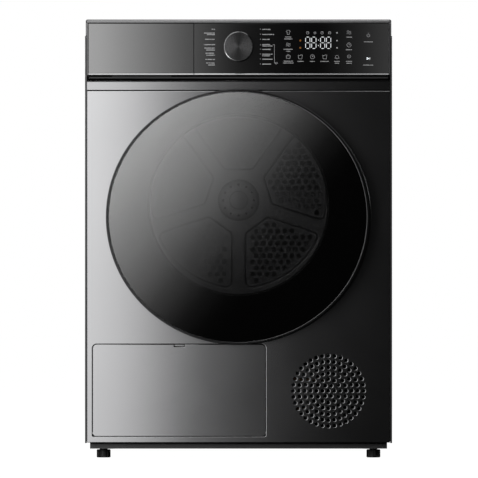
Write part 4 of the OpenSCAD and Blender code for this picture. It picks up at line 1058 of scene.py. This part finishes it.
def make_lights():
    """Soft lights at the front, above and behind; each front light lies in a plane of its own."""
    softbox("key_left", (-0.6, -1.5, 0.75), (-0.6, 0.0, 0.75), (2.2, 2.4),
            ((-0.42, 1.48), (-0.3, 1.38), (-0.25, 1.18), (-0.21, 0.93), (-0.13, 0.3), (-0.08, 0.16),
             (-0.04, 0.11), (0.01, 0.07), (0.1, 0.02), (0.15, 0.006), (0.2, 0.0), (0.32, 0.0)),
            fade=((-0.045, 0.74), (0.755, 1.0)), spare=("door_glass_pane",))
    softbox("top", (0.0, -0.95, 2.6), (0.0, -0.95, 0.8), (2.6, 3.2),
            ((-0.32, 0.92), (-0.04, 1.05), (0.0, 0.96), (0.05, 0.62), (0.1, 0.32), (0.14, 0.22), (0.23, 0.19),
             (0.27, 0.25), (0.34, 0.51), (0.53, 0.8)),
            spare=("upper_strip_sheet",))
    softbox("slab_sheen", (0.0, -1.38, 1.72), (0.0, -0.3, 0.85), (1.4, 0.8),
            ((-0.32, 0.35), (-0.15, 1.6), (0.0, 2.6), (0.12, 2.8), (0.25, 2.0), (0.33, 1.7)),
            only=("worktop_slab",))
    softbox("console_sheen", (0.0, -1.44, 0.8), (0.0, 0.0, 0.8), (1.2, 1.2),
            ((-0.55, 3.4), (-0.3, 3.1), (-0.25, 2.13), (-0.2, 1.5), (-0.12, 0.81), (-0.04, 0.22),
             (0.0, 0.04), (0.05, 0.0), (0.18, 0.0), (0.26, 0.17), (0.32, 0.46), (0.37, 0.6)),
            only=("fascia_gloss", "drawer_face"))
    softbox("door_sheen", (0.0, -1.42, 0.5), (0.0, 0.0, 0.5), (1.6, 1.4),
            ((-0.6, 8.0), (-0.55, 7.4), (-0.48, 4.9), (-0.38, 2.15), (-0.32, 0.8), (-0.28, 0.34),
             (-0.25, 0.11), (-0.21, 0.02), (-0.18, 0.0)),
            across=(0.78, 0, -0.625), only=("door_glass_pane",))
    softbox("ring_sheen", (0.9, -1.35, 1.4), (0.25, -0.34, 0.6), (0.8, 0.8), 0.8,
            only=("door_ring", "door_ring_bright_line"))
    softbox("knob_arc", (-1.0, -1.46, 0.0), (0.0, -0.3, 0.8), (0.6, 0.6), 9.0, only=("knob_rim",))
    softbox("drum_glow", (0.0, -0.20, 0.49), (0.0, 0.26, 0.49), (0.36, 0.34),
            ((0.09, 0.012), (0.25, 0.026), (0.35, 0.06), (0.54, 0.16)), across=(-0.707, 0, 0.707),
            only=("drum_back_star", "drum_back_floor", "drum_hub_studs", "drum_shell"))
    softbox("back_left", (-2.0, 2.4, 1.6), (0, 0.2, 0.45), (1.4, 1.8), 7.5, spare=("worktop_slab",))
    softbox("back_right", (2.4, 1.4, 1.6), (0, 0.2, 0.45), (1.4, 1.8), 6.3, spare=("worktop_slab",))


def make_world():
    """A white backdrop for the camera, and a trace of light for everything else."""
    world = bpy.data.worlds.new("studio")
    world.use_nodes = True
    tree = world.node_tree
    link = tree.links.new
    dim = tree.nodes["Background"]
    dim.inputs["Color"].default_value = (1, 1, 1, 1)
    dim.inputs["Strength"].default_value = 0.006
    seen = add_node(tree, "Background", Color=(1, 1, 1, 1), Strength=1.0)
    switch = add_node(tree, "MixShader")
    rays = add_node(tree, "LightPath")
    link(rays.outputs["Is Camera Ray"], switch.inputs["Fac"])
    link(dim.outputs[0], switch.inputs[1])
    link(seen.outputs[0], switch.inputs[2])
    link(switch.outputs[0], tree.nodes["World Output"].inputs["Surface"])
    scene.world = world


def make_floor():
    """A pale floor just under the feet, which throws no light on the object."""
    bm = bmesh.new()
    bmesh.ops.create_grid(bm, x_segments=8, y_segments=8, size=14)
    mesh = bpy.data.meshes.new("floor")
    bm.to_mesh(mesh)
    bm.free()
    pale = bpy.data.materials.new("pale_floor")
    pale.use_nodes = True
    shader = pale.node_tree.nodes["Principled BSDF"]
    shader.inputs["Base Color"].default_value = (0.0, 0.0, 0.0, 1)
    shader.inputs["Roughness"].default_value = 0.9
    shader.inputs["Emission Color"].default_value = (1, 1, 1, 1)
    shader.inputs["Emission Strength"].default_value = 1.0
    mesh.materials.append(pale)
    floor = bpy.data.objects.new("floor", mesh)
    floor.location = (0, 0, -0.0005)
    floor.visible_glossy = False
    floor.visible_diffuse = False
    scene.collection.objects.link(floor)


def make_camera():
    """A level camera, far in front of the machine."""
    distance, view_width, sensor = 12.0, 0.9262, 36
    lens = bpy.data.cameras.new("camera")
    lens.sensor_width = sensor
    lens.lens = sensor * distance / view_width
    lens.clip_end = 50
    camera = bpy.data.objects.new("camera", lens)
    camera.location = (0.0009, FACE / 1000 - distance, 0.4245)
    camera.rotation_euler = (math.radians(90), 0, 0)
    scene.collection.objects.link(camera)
    scene.camera = camera
    scene.view_settings.view_transform = "Standard"


make_lights()
make_world()
make_floor()
make_camera()
